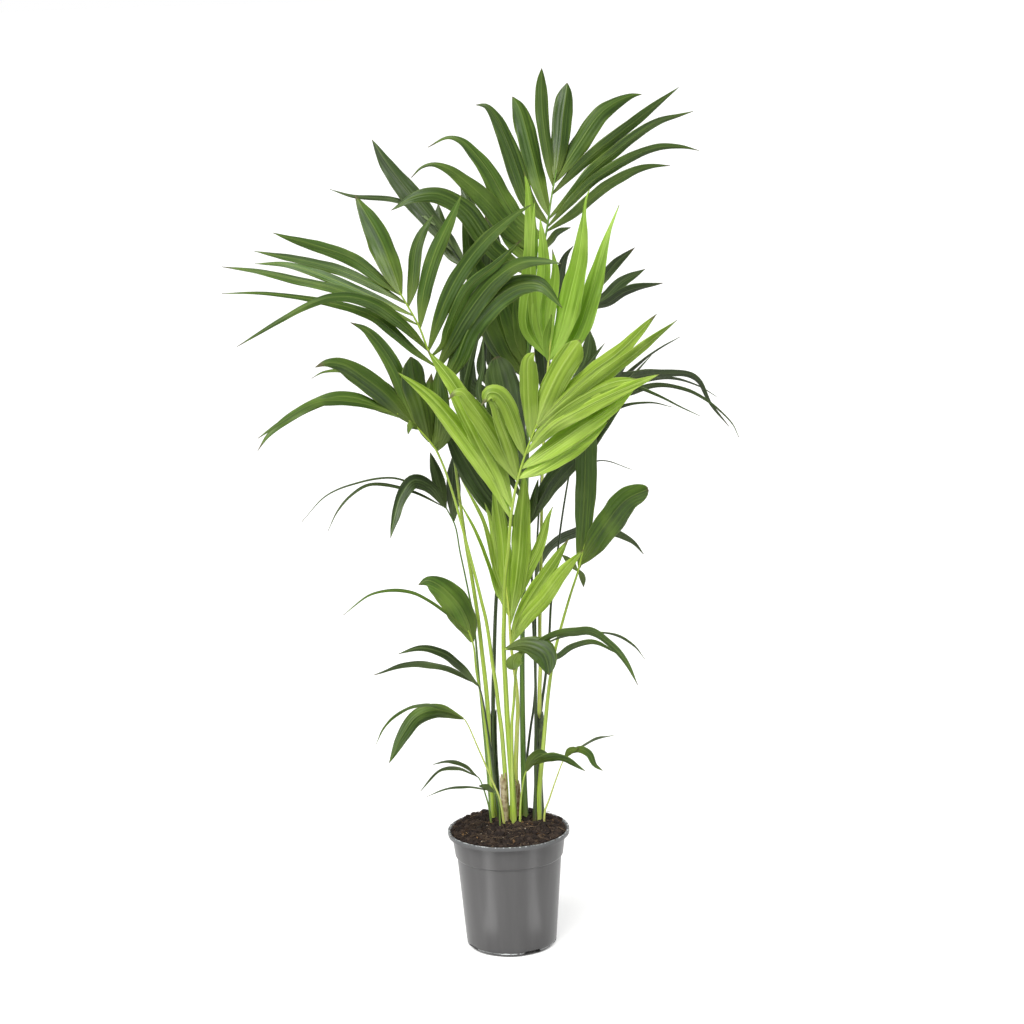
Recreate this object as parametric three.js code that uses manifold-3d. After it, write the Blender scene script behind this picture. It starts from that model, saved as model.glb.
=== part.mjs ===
// A young kentia-type palm in a grey plastic nursery pot, as it grows: pinnate fronds on long
// petioles that stand in the soil of a full pot. Millimetres, +Z up. The origin is the middle of
// the pot's underside, and the plant's front faces -Y.
import * as THREE from 'three';
import { mergeVertices } from 'three/addons/utils/BufferGeometryUtils.js';
import Module from 'manifold-3d';

const wasm = await Module();
wasm.setup();

// ---- driving dimensions -------------------------------------------------------------------
const POT_HEIGHT = 176;
const RIM_RADIUS = 90; // outside of the lip
const FOOT_RADIUS = 60; // where the wall meets the rounded foot
const WALL = 1.4;
const SIDES = 30; // flats round the pot and the soil

const CHANNELS = 4; // drain channels under the pot
const CHANNEL_WIDTH = 27;
const CHANNEL_HEIGHT = 4.5;
const CHANNEL_START = 34; // distance from the middle
const CHANNEL_TURN = THREE.MathUtils.degToRad(28); // first channel, right of the front
const DRAIN_RADIUS = 4;

const SOIL_TOP = 181; // middle of the mound
const CLEARANCE = 0.35; // gap between pieces that touch
const SOIL_FLOOR = CHANNEL_HEIGHT + WALL + CLEARANCE; // the soil rests on the raised channels
const STEM_FOOT = 152; // depth to which stems stand in the soil
const STEM_COLLAR = 186; // stems rise straight to here

const BLADE_THICKNESS = 0.8;
const BLADE_FOLD = Math.tan(THREE.MathUtils.degToRad(17)); // leaflets fold down from the midrib
const PETIOLE_SIDES = 4;
const PETIOLE_STEP = 78; // length of one straight stretch of petiole

// The plant is described by what is seen of it from the front. EYE is the point it is seen from,
// x and z are read where the line of sight meets the upright plane through the pot's axis, and
// depth is how far in front of that plane the point stands (negative is behind).
const EYE = new THREE.Vector3(19, -4000, 1529);

function seen(x, z, depth) {
  const plane = new THREE.Vector3(x, 0, z);
  return plane.lerp(EYE, depth / -EYE.y);
}

function seenAt(point) {
  const share = point.y / EYE.y;
  return {
    x: (point.x - EYE.x * share) / (1 - share),
    z: (point.z - EYE.z * share) / (1 - share),
    depth: -point.y,
  };
}

// Breadth of a leaflet along its length, as shares of its length and of its full width.
const POINTED = [[0, 0.16], [0.2, 0.8], [0.5, 1], [0.8, 0.6], [1, 0.06]];
const BLUNT = [[0, 0.16], [0.25, 0.85], [0.6, 1], [0.9, 0.72], [1, 0.25]];
const SHORT = [[0, 0.16], [0.35, 0.95], [0.72, 0.75], [1, 0.08]]; // a pointed leaflet under SHORT_LENGTH
const SHORT_LENGTH = 105;
const FLAT_WIDTH = 20; // a narrower leaflet, and one turned past FLAT_ROLL, has no fold
const FLAT_ROLL = 50;

// ---- the fronds ---------------------------------------------------------------------------
// foot: x and depth where the petiole stands in the soil. radius: at the foot and at the tip.
// petiole: x, z, depth of points up to the tip of the rachis.
// A leaflet is width, roll in degrees (0 faces the viewer, 90 is edge on), depth of its tip, and
// x, z of points from its root to its tip. A third number sets the depth of a point.
const FRONDS = {
  frond_top: {
    foot: [25, -16], radius: [4, 1.2], colour: 0x3f5e2c,
    petiole: [
      [25, 300, -24], [28, 450, -36], [36, 600, -50], [44, 750, -64], [48, 880, -78],
      [58, 990, -90], [77, 1050, -98], [88, 1110, -106], [96, 1148, -110],
    ],
    pointed: [
      [28, 23, -50, [55, 1000], [30, 1032], [0, 1070], [-40, 1105], [-80, 1117], [-137, 1096]],
      [27, 18, -84, [60, 1035], [30, 1085], [-5, 1122], [-40, 1153], [-78, 1166], [-107, 1141]],
      [26, 22, -116, [68, 1055], [35, 1125], [0, 1170], [-50, 1195], [-80, 1182]],
      [25, 17, -140, [78, 1085], [50, 1165], [25, 1215], [0, 1240], [-22, 1237]],
      [24, 20, -160, [82, 1095], [70, 1170], [60, 1215], [45, 1247], [33, 1250]],
      [21, 23, -150, [92, 1125], [90, 1180], [86, 1240], [80, 1288]],
      [24, -22, -176, [96, 1140], [103, 1190], [110, 1230], [113, 1269]],
      [24, -18, -226, [95, 1130], [120, 1185], [150, 1225], [190, 1250], [220, 1248]],
      [22, 60, -250, [90, 1105], [130, 1170], [180, 1228], [230, 1254], [270, 1258]],
      [22, 56, -216, [83, 1082], [130, 1150], [180, 1190], [240, 1217], [289, 1222]],
      [22, 54, -184, [78, 1068], [140, 1130], [200, 1170], [250, 1180], [296, 1170]],
      [22, 56, -136, [72, 1045], [110, 1085], [150, 1115], [210, 1148], [256, 1151]],
      [24, 17, -124, [46, 850], [18, 892], [-3, 952], [-20, 1005], [-38, 1090]],
      [19, 20, -104, [47, 865], [30, 915], [19, 965]],
      [15, 23, -92, [48, 875], [41, 915], [36, 946]],
    ],
  },
  frond_back_left: {
    foot: [-15, -39], radius: [3.4, 1.1], colour: 0x324a26,
    petiole: [
      [-17, 300, -56], [-14, 420, -70], [-8, 525, -84], [-8, 700, -112], [-15, 840, -134],
      [-17, 910, -144], [-24, 965, -152], [-42, 1020, -160], [-78, 1075, -170],
    ],
    pointed: [
      [23, 18, -226, [-60, 1052], [-98, 1105], [-130, 1158], [-162, 1196]],
      [20, 66, -276, [-72, 1070], [-110, 1100], [-145, 1116], [-180, 1118], [-216, 1126]],
      [26, 22, -220, [-30, 985], [-62, 1030], [-78, 1080], [-84, 1140]],
      [26, -23, -190, [-22, 955], [-6, 1010], [-2, 1060], [-8, 1110]],
      [22, 20, -270, [-40, 1015], [-30, 1080], [-36, 1130], [-50, 1160]],
    ],
  },
  frond_upper_left: {
    foot: [-17, -19], radius: [3.8, 1.2], colour: 0x52783a,
    petiole: [
      [-24, 300, -22], [-28, 380, -22], [-33, 450, -22], [-43, 560, -20], [-50, 620, -18],
      [-58, 700, -16], [-63, 752, -14], [-72, 800, -10], [-80, 860, -6], [-95, 900, -2],
      [-105, 930, 2], [-120, 960, 6], [-132, 982, 10],
    ],
    pointed: [
      [37, 23, -60, [-128, 975], [-150, 1030], [-172, 1080], [-188, 1121]],
      [20, -22, -34, [-120, 962], [-116, 1010], [-105, 1055], [-80, 1095]],
      [21, -18, 6, [-105, 930], [-85, 1010], [-62, 1078], [-40, 1119]],
      [23, -23, 46, [-92, 895], [-60, 985], [-30, 1036], [20, 1078], [60, 1101]],
      [18, 30, 70, [-90, 885], [-50, 960], [-10, 1012], [45, 1053]],
      [26, -20, 84, [-78, 872], [-45, 968], [-10, 1003], [30, 1020], [70, 1022], [110, 1014]],
      [31, -17, 72, [-72, 845], [-40, 905], [-10, 958], [20, 982], [60, 984], [98, 944]],
      [24, 42, -150, [-130, 978], [-180, 1026], [-220, 1046], [-270, 1062], [-307, 1072]],
      [22, 54, -104, [-122, 964], [-180, 1001], [-230, 1023], [-280, 1039], [-335, 1046]],
      [22, 56, -54, [-114, 948], [-200, 991], [-260, 1015], [-300, 1026], [-335, 1028]],
      [22, 58, 0, [-107, 934], [-200, 976], [-270, 996], [-330, 1016], [-382, 1025]],
      [24, 60, 62, [-97, 905], [-200, 960], [-260, 981], [-330, 987], [-382, 984]],
      [24, 58, 128, [-92, 892], [-140, 950], [-200, 978], [-270, 966], [-320, 938], [-365, 911]],
    ],
  },
  frond_young: {
    foot: [48, -18], radius: [3.8, 1.4], colour: 0x8fb440,
    petiole: [
      [48, 250, -16], [48, 355, -12], [51, 420, -10], [57, 490, -8], [60, 560, -6],
      [62, 660, -6], [66, 740, -10], [72, 820, -16], [78, 880, -22], [84, 920, -26],
    ],
    pointed: [
      [17, 18, -58, [73, 830], [55, 900], [52, 1000], [52, 1080], [60, 1140], [44, 1152]],
      [20, 22, -46, [76, 855], [78, 930], [86, 1010], [78, 1060], [68, 1102]],
      [26, -23, -16, [80, 890], [100, 960], [117, 1030], [130, 1080], [140, 1113]],
      [22, -20, -92, [82, 905], [120, 950], [145, 1000], [168, 1050], [184, 1096]],
      [16, 45, 6, [74, 840], [84, 900], [84, 944]],
    ],
  },
  frond_right_back: {
    foot: [33, -27], radius: [3.2, 1.1], colour: 0x33492a,
    petiole: [
      [35, 250, -34], [40, 400, -52], [50, 550, -72], [62, 700, -94], [82, 850, -118],
      [105, 920, -130], [130, 960, -142], [150, 982, -150],
    ],
    pointed: [
      [20, -17, -246, [140, 970], [165, 1000], [190, 1022], [205, 1036]],
      [20, -22, -206, [148, 980], [175, 992], [198, 1000], [215, 1003]],
      [18, 55, -126, [128, 956], [170, 968], [210, 980], [243, 983]],
      [17, -18, -176, [106, 922], [102, 970], [106, 1010], [110, 1036]],
      [24, 40, -300, [115, 938], [128, 1000], [140, 1040], [165, 1052]],
      [23, 56, -52, [51, 560], [66, 592], [90, 613], [125, 624], [165, 621], [207, 592]],
    ],
  },
  frond_right_arching: {
    foot: [43, -31], radius: [2.6, 1], colour: 0x3d5628,
    petiole: [
      [45, 250, -30], [52, 350, -28], [61, 410, -26], [68, 470, -24], [72, 520, -22],
      [84, 600, -22], [90, 640, -22], [102, 705, -22], [115, 760, -22], [128, 800, -20],
      [142, 820, -20],
    ],
    pointed: [
      [20, 60, -130, [130, 804], [165, 846], [200, 856], [250, 856], [285, 848], [318, 802], [334, 774]],
      [18, 66, 40, [138, 815], [190, 830], [230, 839], [270, 830], [300, 815], [325, 795]],
      [18, 62, 84, [134, 810], [190, 838], [230, 828], [262, 810], [292, 792]],
      [18, 72, -170, [128, 798], [200, 842], [250, 850], [290, 836], [317, 818]],
      [18, 76, 90, [120, 778], [150, 790], [180, 808], [225, 812], [251, 805]],
      [21, -23, 4, [112, 750], [126, 820], [133, 875], [138, 916]],
      [16, 40, -16, [118, 772], [135, 820], [150, 865], [158, 898]],
      [18, 50, -70, [122, 785], [160, 835], [195, 868], [225, 881]],
      [18, 45, -110, [125, 792], [180, 850], [230, 885], [266, 907]],
      [16, 60, -50, [126, 796], [165, 835], [185, 862], [197, 881]],
      [14, 80, 20, [104, 712], [150, 728], [193, 714]],
    ],
  },
  frond_front: {
    foot: [7, 0], radius: [4.1, 1.3], colour: 0x98bf42,
    petiole: [
      [8, 230, 6], [6, 300, 14], [2, 400, 30], [3, 460, 40], [7, 500, 48], [11, 560, 60],
      [16, 620, 72], [19, 650, 80], [25, 690, 92], [35, 725, 102], [46, 755, 112], [58, 784, 122],
    ],
    pointed: [
      [30, 20, 118, [18, 645], [-18, 715], [-55, 780], [-95, 830], [-138, 866]],
      [28, 23, 100, [20, 665], [-15, 740], [-42, 795], [-66, 850], [-95, 898]],
      [28, 18, 132, [24, 685], [0, 750], [-22, 800], [-40, 832], [-58, 836], [-68, 818]],
      [24, 22, 142, [30, 705], [16, 765], [2, 815], [-6, 832], [-16, 828], [-22, 814]],
      [23, -23, 216, [56, 780], [105, 838], [155, 880], [200, 912], [234, 938]],
      [18, 30, 244, [54, 776], [110, 830], [170, 880], [262, 929]],
      [25, -20, 206, [48, 760], [95, 802], [140, 828], [178, 840], [212, 841]],
      [26, -17, 230, [42, 742], [85, 782], [130, 808], [180, 834], [226, 850]],
      [24, -22, 186, [36, 722], [75, 762], [115, 790], [160, 815], [202, 836]],
      [22, -18, 156, [31, 706], [60, 735], [100, 765], [150, 795]],
    ],
    blunt: [
      [25, 17, 140, [40, 738], [22, 785], [12, 822], [4, 838], [-8, 836]],
      [22, -20, 150, [50, 765], [46, 805], [46, 850], [60, 889]],
      [28, -17, 170, [57, 784], [66, 830], [85, 872], [122, 906]],
    ],
  },
  frond_dark: {
    foot: [28, -5], radius: [2.8, 1.2], colour: 0x35502b,
    petiole: [
      [31, 250, -4], [34, 290, -3], [42, 350, 0], [45, 400, 6], [46, 480, 14], [45, 560, 22],
      [44, 600, 25], [42, 650, 30], [38, 700, 34],
    ],
    pointed: [
      [36, -22, 44, [42, 640], [78, 690], [120, 742], [166, 802]],
      [30, 22, 12, [42, 645], [-5, 665], [-32, 706], [-60, 762], [-76, 802]],
      [12, -23, 40, [43, 640], [50, 672], [58, 704]],
    ],
    blunt: [
      [46, 20, 48, [38, 700], [22, 770], [12, 830], [12, 882]],
    ],
  },
  frond_left: {
    foot: [-2, -10], radius: [3.6, 1.2], colour: 0x4a6636,
    petiole: [
      [-1, 240, -9], [-3, 300, -3], [-12, 370, 8], [-22, 430, 18], [-32, 500, 27],
      [-42, 560, 35], [-50, 600, 40], [-60, 640, 46], [-70, 690, 52], [-78, 730, 58],
      [-86, 755, 62], [-105, 778, 68], [-125, 793, 72], [-142, 806, 76],
    ],
    pointed: [
      [22, 42, 168, [-132, 798], [-180, 834], [-220, 839], [-260, 826], [-310, 800], [-343, 760]],
      [35, 23, 124, [-122, 790], [-148, 832], [-172, 862], [-212, 888], [-256, 880]],
      [22, 18, 70, [-115, 785], [-142, 858], [-165, 905], [-203, 940]],
      [31, 22, 72, [-95, 766], [-104, 810], [-116, 850], [-130, 887]],
      [26, -23, 52, [-86, 755], [-84, 800], [-80, 840], [-74, 868]],
      [20, -20, 62, [-84, 750], [-74, 778], [-62, 802]],
      [20, 70, 14, [-128, 795], [-180, 850], [-225, 874], [-262, 861]],
      [20, 76, 196, [-140, 804], [-220, 836], [-290, 822], [-345, 785]],
      [12, 40, 96, [-110, 782], [-122, 790], [-127, 776]],
    ],
  },
  frond_lower_front: {
    foot: [10, -18], radius: [3, 1.2], colour: 0x86ae3d,
    petiole: [
      [9, 280, -10], [9, 350, -2], [10, 420, 8], [11, 470, 16], [10, 510, 23], [7, 545, 28],
    ],
    pointed: [
      [15, -17, 46, [10, 480], [38, 545], [58, 602], [78, 663]],
      [24, -22, 76, [11, 465], [42, 530], [75, 580], [98, 613]],
      [22, -18, 104, [11, 460], [50, 512], [88, 562], [123, 598]],
      [22, -23, 50, [10, 500], [20, 590], [28, 650], [34, 706]],
      [24, 20, 44, [9, 505], [0, 580], [-2, 640], [0, 695]],
      [14, 23, 42, [9, 500], [-6, 560], [-16, 620], [-26, 660]],
      [12, 40, 88, [8, 530], [-8, 590], [-30, 655], [-52, 706]],
      [12, 44, 64, [9, 512], [-6, 560], [-26, 625], [-48, 683]],
    ],
  },
  frond_right_lower: {
    foot: [45, -5], radius: [3.8, 1.2], colour: 0x3c5829,
    petiole: [
      [48, 240, 0], [54, 300, 6], [60, 350, 12], [66, 400, 18], [72, 440, 23], [84, 480, 28],
      [100, 530, 35], [112, 565, 40], [122, 600, 45], [131, 628, 50],
    ],
    blunt: [
      [40, -22, 136, [118, 580], [148, 632], [182, 668], [214, 680]],
    ],
    pointed: [
      [34, -18, 72, [115, 572], [121, 640], [126, 710], [128, 778]],
      [10, -23, 30, [113, 568], [119, 556], [120, 542]],
      [11, 20, 60, [113, 567], [104, 577], [90, 591]],
    ],
  },
  frond_left_dark: {
    foot: [-25, -29], radius: [2.4, 1], colour: 0x364e2a,
    petiole: [
      [-30, 300, -36], [-36, 400, -38], [-42, 500, -36], [-51, 560, -34], [-58, 600, -30],
      [-64, 640, -26], [-76, 666, -20],
    ],
    pointed: [
      [20, 76, 64, [-74, 662], [-120, 690], [-165, 705], [-215, 702], [-250, 685], [-283, 650]],
      [20, 72, -88, [-70, 654], [-110, 692], [-160, 710], [-215, 692], [-258, 656]],
      [20, 70, 100, [-76, 666], [-130, 690], [-185, 698], [-215, 686], [-246, 638]],
      [20, 78, -136, [-72, 660], [-100, 704], [-140, 714], [-196, 711]],
      [22, 30, 70, [-76, 665], [-92, 696], [-112, 711], [-138, 700], [-150, 668], [-156, 625]],
      [18, 23, -36, [-76, 666], [-84, 705], [-94, 744]],
      [22, -22, -38, [-66, 645], [-66, 700], [-62, 746]],
    ],
  },
  frond_left_low: {
    foot: [-22, -8], radius: [3.2, 1.2], colour: 0x5c7d33,
    petiole: [
      [-24, 260, -5], [-29, 330, -1], [-34, 380, 3], [-40, 420, 6], [-43, 460, 9], [-50, 482, 10],
    ],
    pointed: [
      [40, 22, 10, [-43, 460], [-58, 505], [-76, 540], [-98, 558], [-119, 553]],
      [18, 76, 110, [-47, 474], [-85, 510], [-130, 541], [-165, 546], [-198, 536], [-231, 510]],
      [18, 80, -70, [-45, 468], [-110, 508], [-170, 510], [-222, 475]],
    ],
  },
  frond_left_pair: {
    foot: [-13, -3], radius: [2.3, 1], colour: 0x35502b,
    petiole: [[-18, 250, 4], [-26, 330, 14], [-36, 395, 24], [-42, 405, 26]],
    pointed: [
      [18, 35, 104, [-37, 397], [-62, 434], [-85, 453], [-120, 463], [-151, 455]],
      [18, 62, 40, [-40, 402], [-78, 430], [-110, 439], [-145, 438], [-190, 424]],
    ],
  },
  frond_left_small: {
    foot: [-6, 14], radius: [1.7, 0.8], colour: 0x4c6a34,
    petiole: [[-12, 225, 21], [-20, 247, 26], [-40, 300, 42], [-60, 348, 56], [-66, 352, 58]],
    pointed: [
      [16, 74, 168, [-62, 348], [-85, 364], [-116, 372], [-155, 362], [-178, 340], [-191, 314]],
      [21, 17, 110, [-62, 348], [-98, 364], [-130, 360], [-152, 338], [-171, 281]],
    ],
  },
  frond_left_lowest: {
    foot: [-25, 4], radius: [1.5, 0.8], colour: 0x2f4426,
    petiole: [[-28, 212, 8], [-31, 225, 10], [-42, 258, 20], [-48, 262, 22]],
    pointed: [
      [14, 68, 100, [-43, 258], [-60, 276], [-84, 285], [-109, 280]],
      [14, 70, 40, [-46, 261], [-72, 274], [-98, 272], [-129, 239]],
    ],
  },
  frond_seedling_left: {
    foot: [-12, 22], radius: [1.3, 0.7], colour: 0x35502b,
    petiole: [[-13, 215, 30], [-17, 232, 36], [-26, 240, 40]],
    pointed: [
      [11, 30, 56, [-19, 234], [-30, 243], [-42, 245]],
      [11, 76, 116, [-22, 238], [-60, 245], [-90, 242], [-119, 231]],
    ],
  },
  frond_lower_right: {
    foot: [5, 12], radius: [2.7, 1.1], colour: 0x33552c,
    petiole: [
      [7, 240, 20], [9, 300, 32], [12, 350, 42], [17, 400, 54], [26, 434, 62], [38, 450, 66],
      [56, 458, 68],
    ],
    blunt: [
      [28, -20, 96, [27, 438], [46, 454], [62, 448], [68, 430], [66, 411]],
      [24, 23, 96, [27, 437], [16, 449], [7, 440], [8, 426], [12, 413]],
    ],
    pointed: [
      [20, 58, 146, [48, 454], [64, 468], [90, 478], [118, 481], [150, 467], [184, 430], [193, 395]],
      [18, 60, 60, [46, 453], [62, 440], [78, 440], [100, 456], [130, 461], [172, 439]],
      [16, 78, 20, [52, 456], [90, 468], [130, 472], [160, 469], [190, 452], [207, 430]],
    ],
  },
  frond_small_right: {
    foot: [17, 8], radius: [1.7, 0.9], colour: 0x3f6130,
    petiole: [[19, 215, 14], [21, 232, 18], [27, 262, 26], [34, 274, 28]],
    pointed: [
      [17, -22, 60, [28, 264], [36, 282], [50, 292], [66, 286]],
      [14, 50, 116, [33, 273], [60, 285], [86, 284], [113, 267]],
    ],
  },
  frond_seedling_right: {
    foot: [53, -4], radius: [1.4, 0.7], colour: 0x3f5a30,
    petiole: [[55, 205, 0], [60, 217, 2], [71, 248, 8], [85, 283, 18], [90, 290, 20]],
    pointed: [
      [11, -18, 40, [86, 284], [94, 295], [107, 298]],
      [16, -23, 92, [90, 290], [108, 299], [122, 291], [130, 274], [141, 265]],
      [12, 76, -50, [90, 290], [108, 298], [132, 310], [159, 316]],
    ],
  },
};

// Dry leaf bases: x, depth and radius of the tube, its lean towards x by the top, and its height.
const DRY_SHEATHS = {
  dry_sheath_left: { x: -4, depth: 4, radius: 4.8, lean: -1.5, top: 262, mouth: 2.2 },
  dry_sheath_middle: { x: 16, depth: -7, radius: 3.9, lean: -1, top: 246, mouth: -1.2 },
};
const YOUNG_SHEATH = { radius: 6.1, top: 348, mouth: 1.9 };
const SHEATH_WALL = 1.2;
const SHEATH_ARC = THREE.MathUtils.degToRad(250);
const SHEATH_STEPS = 8;
const SHEATH_FLARE = 0.08; // a sheath is this much wider at its top than at the soil
const DRY_BROWN = 0x8a6a4c;
const SHEATH_DARK = 0x4a4a30;

// ---- solids -------------------------------------------------------------------------------

/** A closed body through rings of n points, where point k lies across the section from n-1-k. */
function loft(rings) {
  const n = rings[0].length;
  const index = [];
  for (let ring = 0; ring < rings.length - 1; ring += 1) {
    for (let k = 0; k < n; k += 1) {
      const a = ring * n + k;
      const b = ring * n + ((k + 1) % n);
      if (k < n / 2) index.push(a, b + n, b, a, a + n, b + n);
      else index.push(a, a + n, b, b, a + n, b + n);
    }
  }
  const last = (rings.length - 1) * n;
  for (let k = 0; k < n / 2 - 1; k += 1) {
    const [a, b, c, d] = [k, k + 1, n - 2 - k, n - 1 - k];
    index.push(a, b, c, a, c, d);
    index.push(last + a, last + c, last + b, last + a, last + d, last + c);
  }
  const geometry = new THREE.BufferGeometry().setFromPoints(rings.flat());
  return geometry.setIndex(index);
}

/** The solid that a closed geometry bounds. */
function solid(geometry) {
  const bare = geometry.clone();
  bare.deleteAttribute('normal');
  bare.deleteAttribute('uv');
  const merged = mergeVertices(bare, 1e-4);
  const corners = merged.getIndex().array;
  const triangles = [];
  for (let i = 0; i < corners.length; i += 3) {
    const [a, b, c] = corners.slice(i, i + 3);
    if (a !== b && b !== c && c !== a) triangles.push(a, b, c);
  }
  return new wasm.Manifold(new wasm.Mesh({
    numProp: 3,
    vertProperties: new Float32Array(merged.getAttribute('position').array),
    triVerts: new Uint32Array(triangles),
  }));
}

/** The largest of the bodies that a join may leave, without any loose scrap. */
function largest(body) {
  return body.decompose().reduce((best, part) => (part.volume() > best.volume() ? part : best));
}

/** The geometry of a solid, for a mesh. */
function geometryOf(body) {
  const { vertProperties, triVerts } = body.getMesh();
  const geometry = new THREE.BufferGeometry();
  geometry.setAttribute('position', new THREE.BufferAttribute(vertProperties, 3));
  geometry.setIndex(new THREE.BufferAttribute(triVerts, 1));
  geometry.computeVertexNormals();
  return geometry;
}

function piece(name, body, colour, roughness) {
  const material = new THREE.MeshStandardMaterial({ color: colour, roughness, metalness: 0 });
  const mesh = new THREE.Mesh(geometryOf(body), material);
  mesh.name = name;
  return mesh;
}

/** Side and outward directions of a part that runs along a tangent, turned about it by roll. */
function facing(point, tangent, roll) {
  const side = EYE.clone().sub(point).cross(tangent).normalize();
  side.applyAxisAngle(tangent, roll);
  return { side, out: tangent.clone().cross(side) };
}

// ---- fronds -------------------------------------------------------------------------------

/**
 * A thin leaflet along a curve, split into triangles alike on both faces. A folded one is a
 * shallow roof over its midrib.
 */
function blade(curve, width, roll, shape) {
  const folded = width >= FLAT_WIDTH && Math.abs(roll) < FLAT_ROLL;
  const outline = shape === POINTED && curve.getLength() < SHORT_LENGTH ? SHORT : shape;
  const rings = outline.map(([along, breadth]) => {
    const middle = curve.getPointAt(along);
    const { side, out } = facing(middle, curve.getTangentAt(along), THREE.MathUtils.degToRad(roll));
    const half = Math.max((width / 2) * breadth, BLADE_THICKNESS);
    const drop = folded ? half * BLADE_FOLD : 0;
    const place = (across, up) => middle.clone()
      .addScaledVector(side, across * half)
      .addScaledVector(out, (up * BLADE_THICKNESS) / 2 - Math.abs(across) * drop);
    if (!folded) return [place(-1, 1), place(1, 1), place(1, -1), place(-1, -1)];
    return [place(-1, 1), place(0, 1), place(1, 1), place(1, -1), place(0, -1), place(-1, -1)];
  });
  return solid(loft(rings));
}

/** A tapering petiole with its rachis, from the soil to the tip. */
function petiole(foot, curve, radii) {
  const steps = Math.ceil(curve.getLength() / PETIOLE_STEP);
  const rings = [];
  for (let step = -1; step <= steps; step += 1) {
    const along = Math.max(step, 0) / steps;
    const middle = step < 0 ? foot : curve.getPointAt(along);
    const tangent = step < 1 ? new THREE.Vector3(0, 0, 1) : curve.getTangentAt(along);
    const { side, out } = facing(middle, tangent, 0);
    const radius = THREE.MathUtils.lerp(radii[0], radii[1], along);
    const ring = [];
    for (let k = 0; k < PETIOLE_SIDES; k += 1) {
      const angle = Math.PI - (Math.PI * (2 * k + 1)) / PETIOLE_SIDES;
      ring.push(middle.clone()
        .addScaledVector(side, radius * Math.cos(angle))
        .addScaledVector(out, radius * Math.sin(angle)));
    }
    rings.push(ring);
  }
  return solid(loft(rings));
}

/** The curve of a petiole above its collar. */
function petioleCurve({ foot, petiole: points }) {
  const collar = new THREE.Vector3(foot[0], -foot[1], STEM_COLLAR);
  return new THREE.CatmullRomCurve3([collar, ...points.map((p) => seen(...p))], false, 'centripetal');
}

/** The point of a petiole's curve that shows nearest to x, z. */
function rootOn(curve, x, z) {
  const away = (point) => Math.hypot(seenAt(point).x - x, seenAt(point).z - z);
  return curve.getSpacedPoints(160).reduce((best, p) => (away(p) < away(best) ? p : best));
}

/** The curve of a leaflet, whose depth changes evenly from its root to its tip. */
function leafletCurve(stem, reach, points) {
  const root = rootOn(stem, points[0][0], points[0][1]);
  const start = seenAt(root);
  const route = [[start.x, start.z], ...points.slice(1)];
  const gone = [0];
  for (let i = 1; i < route.length; i += 1) {
    gone.push(gone[i - 1] + Math.hypot(route[i][0] - route[i - 1][0], route[i][1] - route[i - 1][1]));
  }
  const placed = route.slice(1).map(([x, z, depth], i) => {
    const even = THREE.MathUtils.lerp(start.depth, reach, gone[i + 1] / gone.at(-1));
    return seen(x, z, depth ?? even);
  });
  return new THREE.CatmullRomCurve3([root, ...placed], false, 'centripetal');
}

/** One frond: its petiole with every leaflet rooted in the rachis. */
function frond(spec) {
  const stem = petioleCurve(spec);
  const foot = new THREE.Vector3(spec.foot[0], -spec.foot[1], STEM_FOOT);
  let body = petiole(foot, stem, spec.radius);
  for (const [kind, shape] of Object.entries({ pointed: POINTED, blunt: BLUNT })) {
    for (const [width, roll, reach, ...points] of spec[kind] ?? []) {
      const curve = leafletCurve(stem, reach, points);
      body = body.add(blade(curve, width, roll, shape));
    }
  }
  return largest(body);
}

// ---- dry and young leaf bases -------------------------------------------------------------

/** An open, torn tube that clasps a stem, along centres from its foot to its ragged top. */
function sheath(centres, radius, mouth) {
  const rings = centres.map((centre, i) => {
    const flare = 1 + (SHEATH_FLARE * Math.max(i - 1, 0)) / (centres.length - 2);
    const arc = (r) => Array.from({ length: SHEATH_STEPS + 1 }, (_, k) => {
      const angle = mouth - (2 * Math.PI - SHEATH_ARC) / 2 - (SHEATH_ARC * k) / SHEATH_STEPS;
      const torn = i === centres.length - 1 ? 5 * Math.sin(k * 2.4) - 4 * Math.abs(k / 4 - 1) : 0;
      return new THREE.Vector3(r * Math.cos(angle), r * Math.sin(angle), torn).add(centre);
    });
    return [...arc(radius * flare), ...arc(radius * flare - SHEATH_WALL).reverse()];
  });
  return solid(loft(rings));
}

function drySheath({ x, depth, radius, lean, top, mouth }) {
  const foot = new THREE.Vector3(x, -depth, STEM_FOOT);
  const collar = new THREE.Vector3(x, -depth, STEM_COLLAR);
  const rim = new THREE.Vector3(x + lean, -depth, top);
  return sheath([foot, collar, collar.clone().lerp(rim, 0.5), rim], radius, mouth);
}

/** The sheath that the young frond still stands in, along the lower part of its petiole. */
function youngSheath(spec) {
  const stem = petioleCurve(spec);
  const foot = new THREE.Vector3(spec.foot[0], -spec.foot[1], STEM_FOOT);
  const heights = [STEM_COLLAR, 240, 295, YOUNG_SHEATH.top];
  const points = stem.getSpacedPoints(400);
  const centres = heights.map((z) => points.reduce(
    (best, p) => (Math.abs(p.z - z) < Math.abs(best.z - z) ? p : best),
  ));
  return sheath([foot, ...centres], YOUNG_SHEATH.radius, YOUNG_SHEATH.mouth);
}

// ---- pot ----------------------------------------------------------------------------------

/** A solid of revolution about Z from x, z points that start and end on the axis. */
function turned(profile) {
  const points = profile.map(([x, z]) => new THREE.Vector2(x, z));
  return new THREE.LatheGeometry(points, SIDES).rotateX(Math.PI / 2);
}

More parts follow.
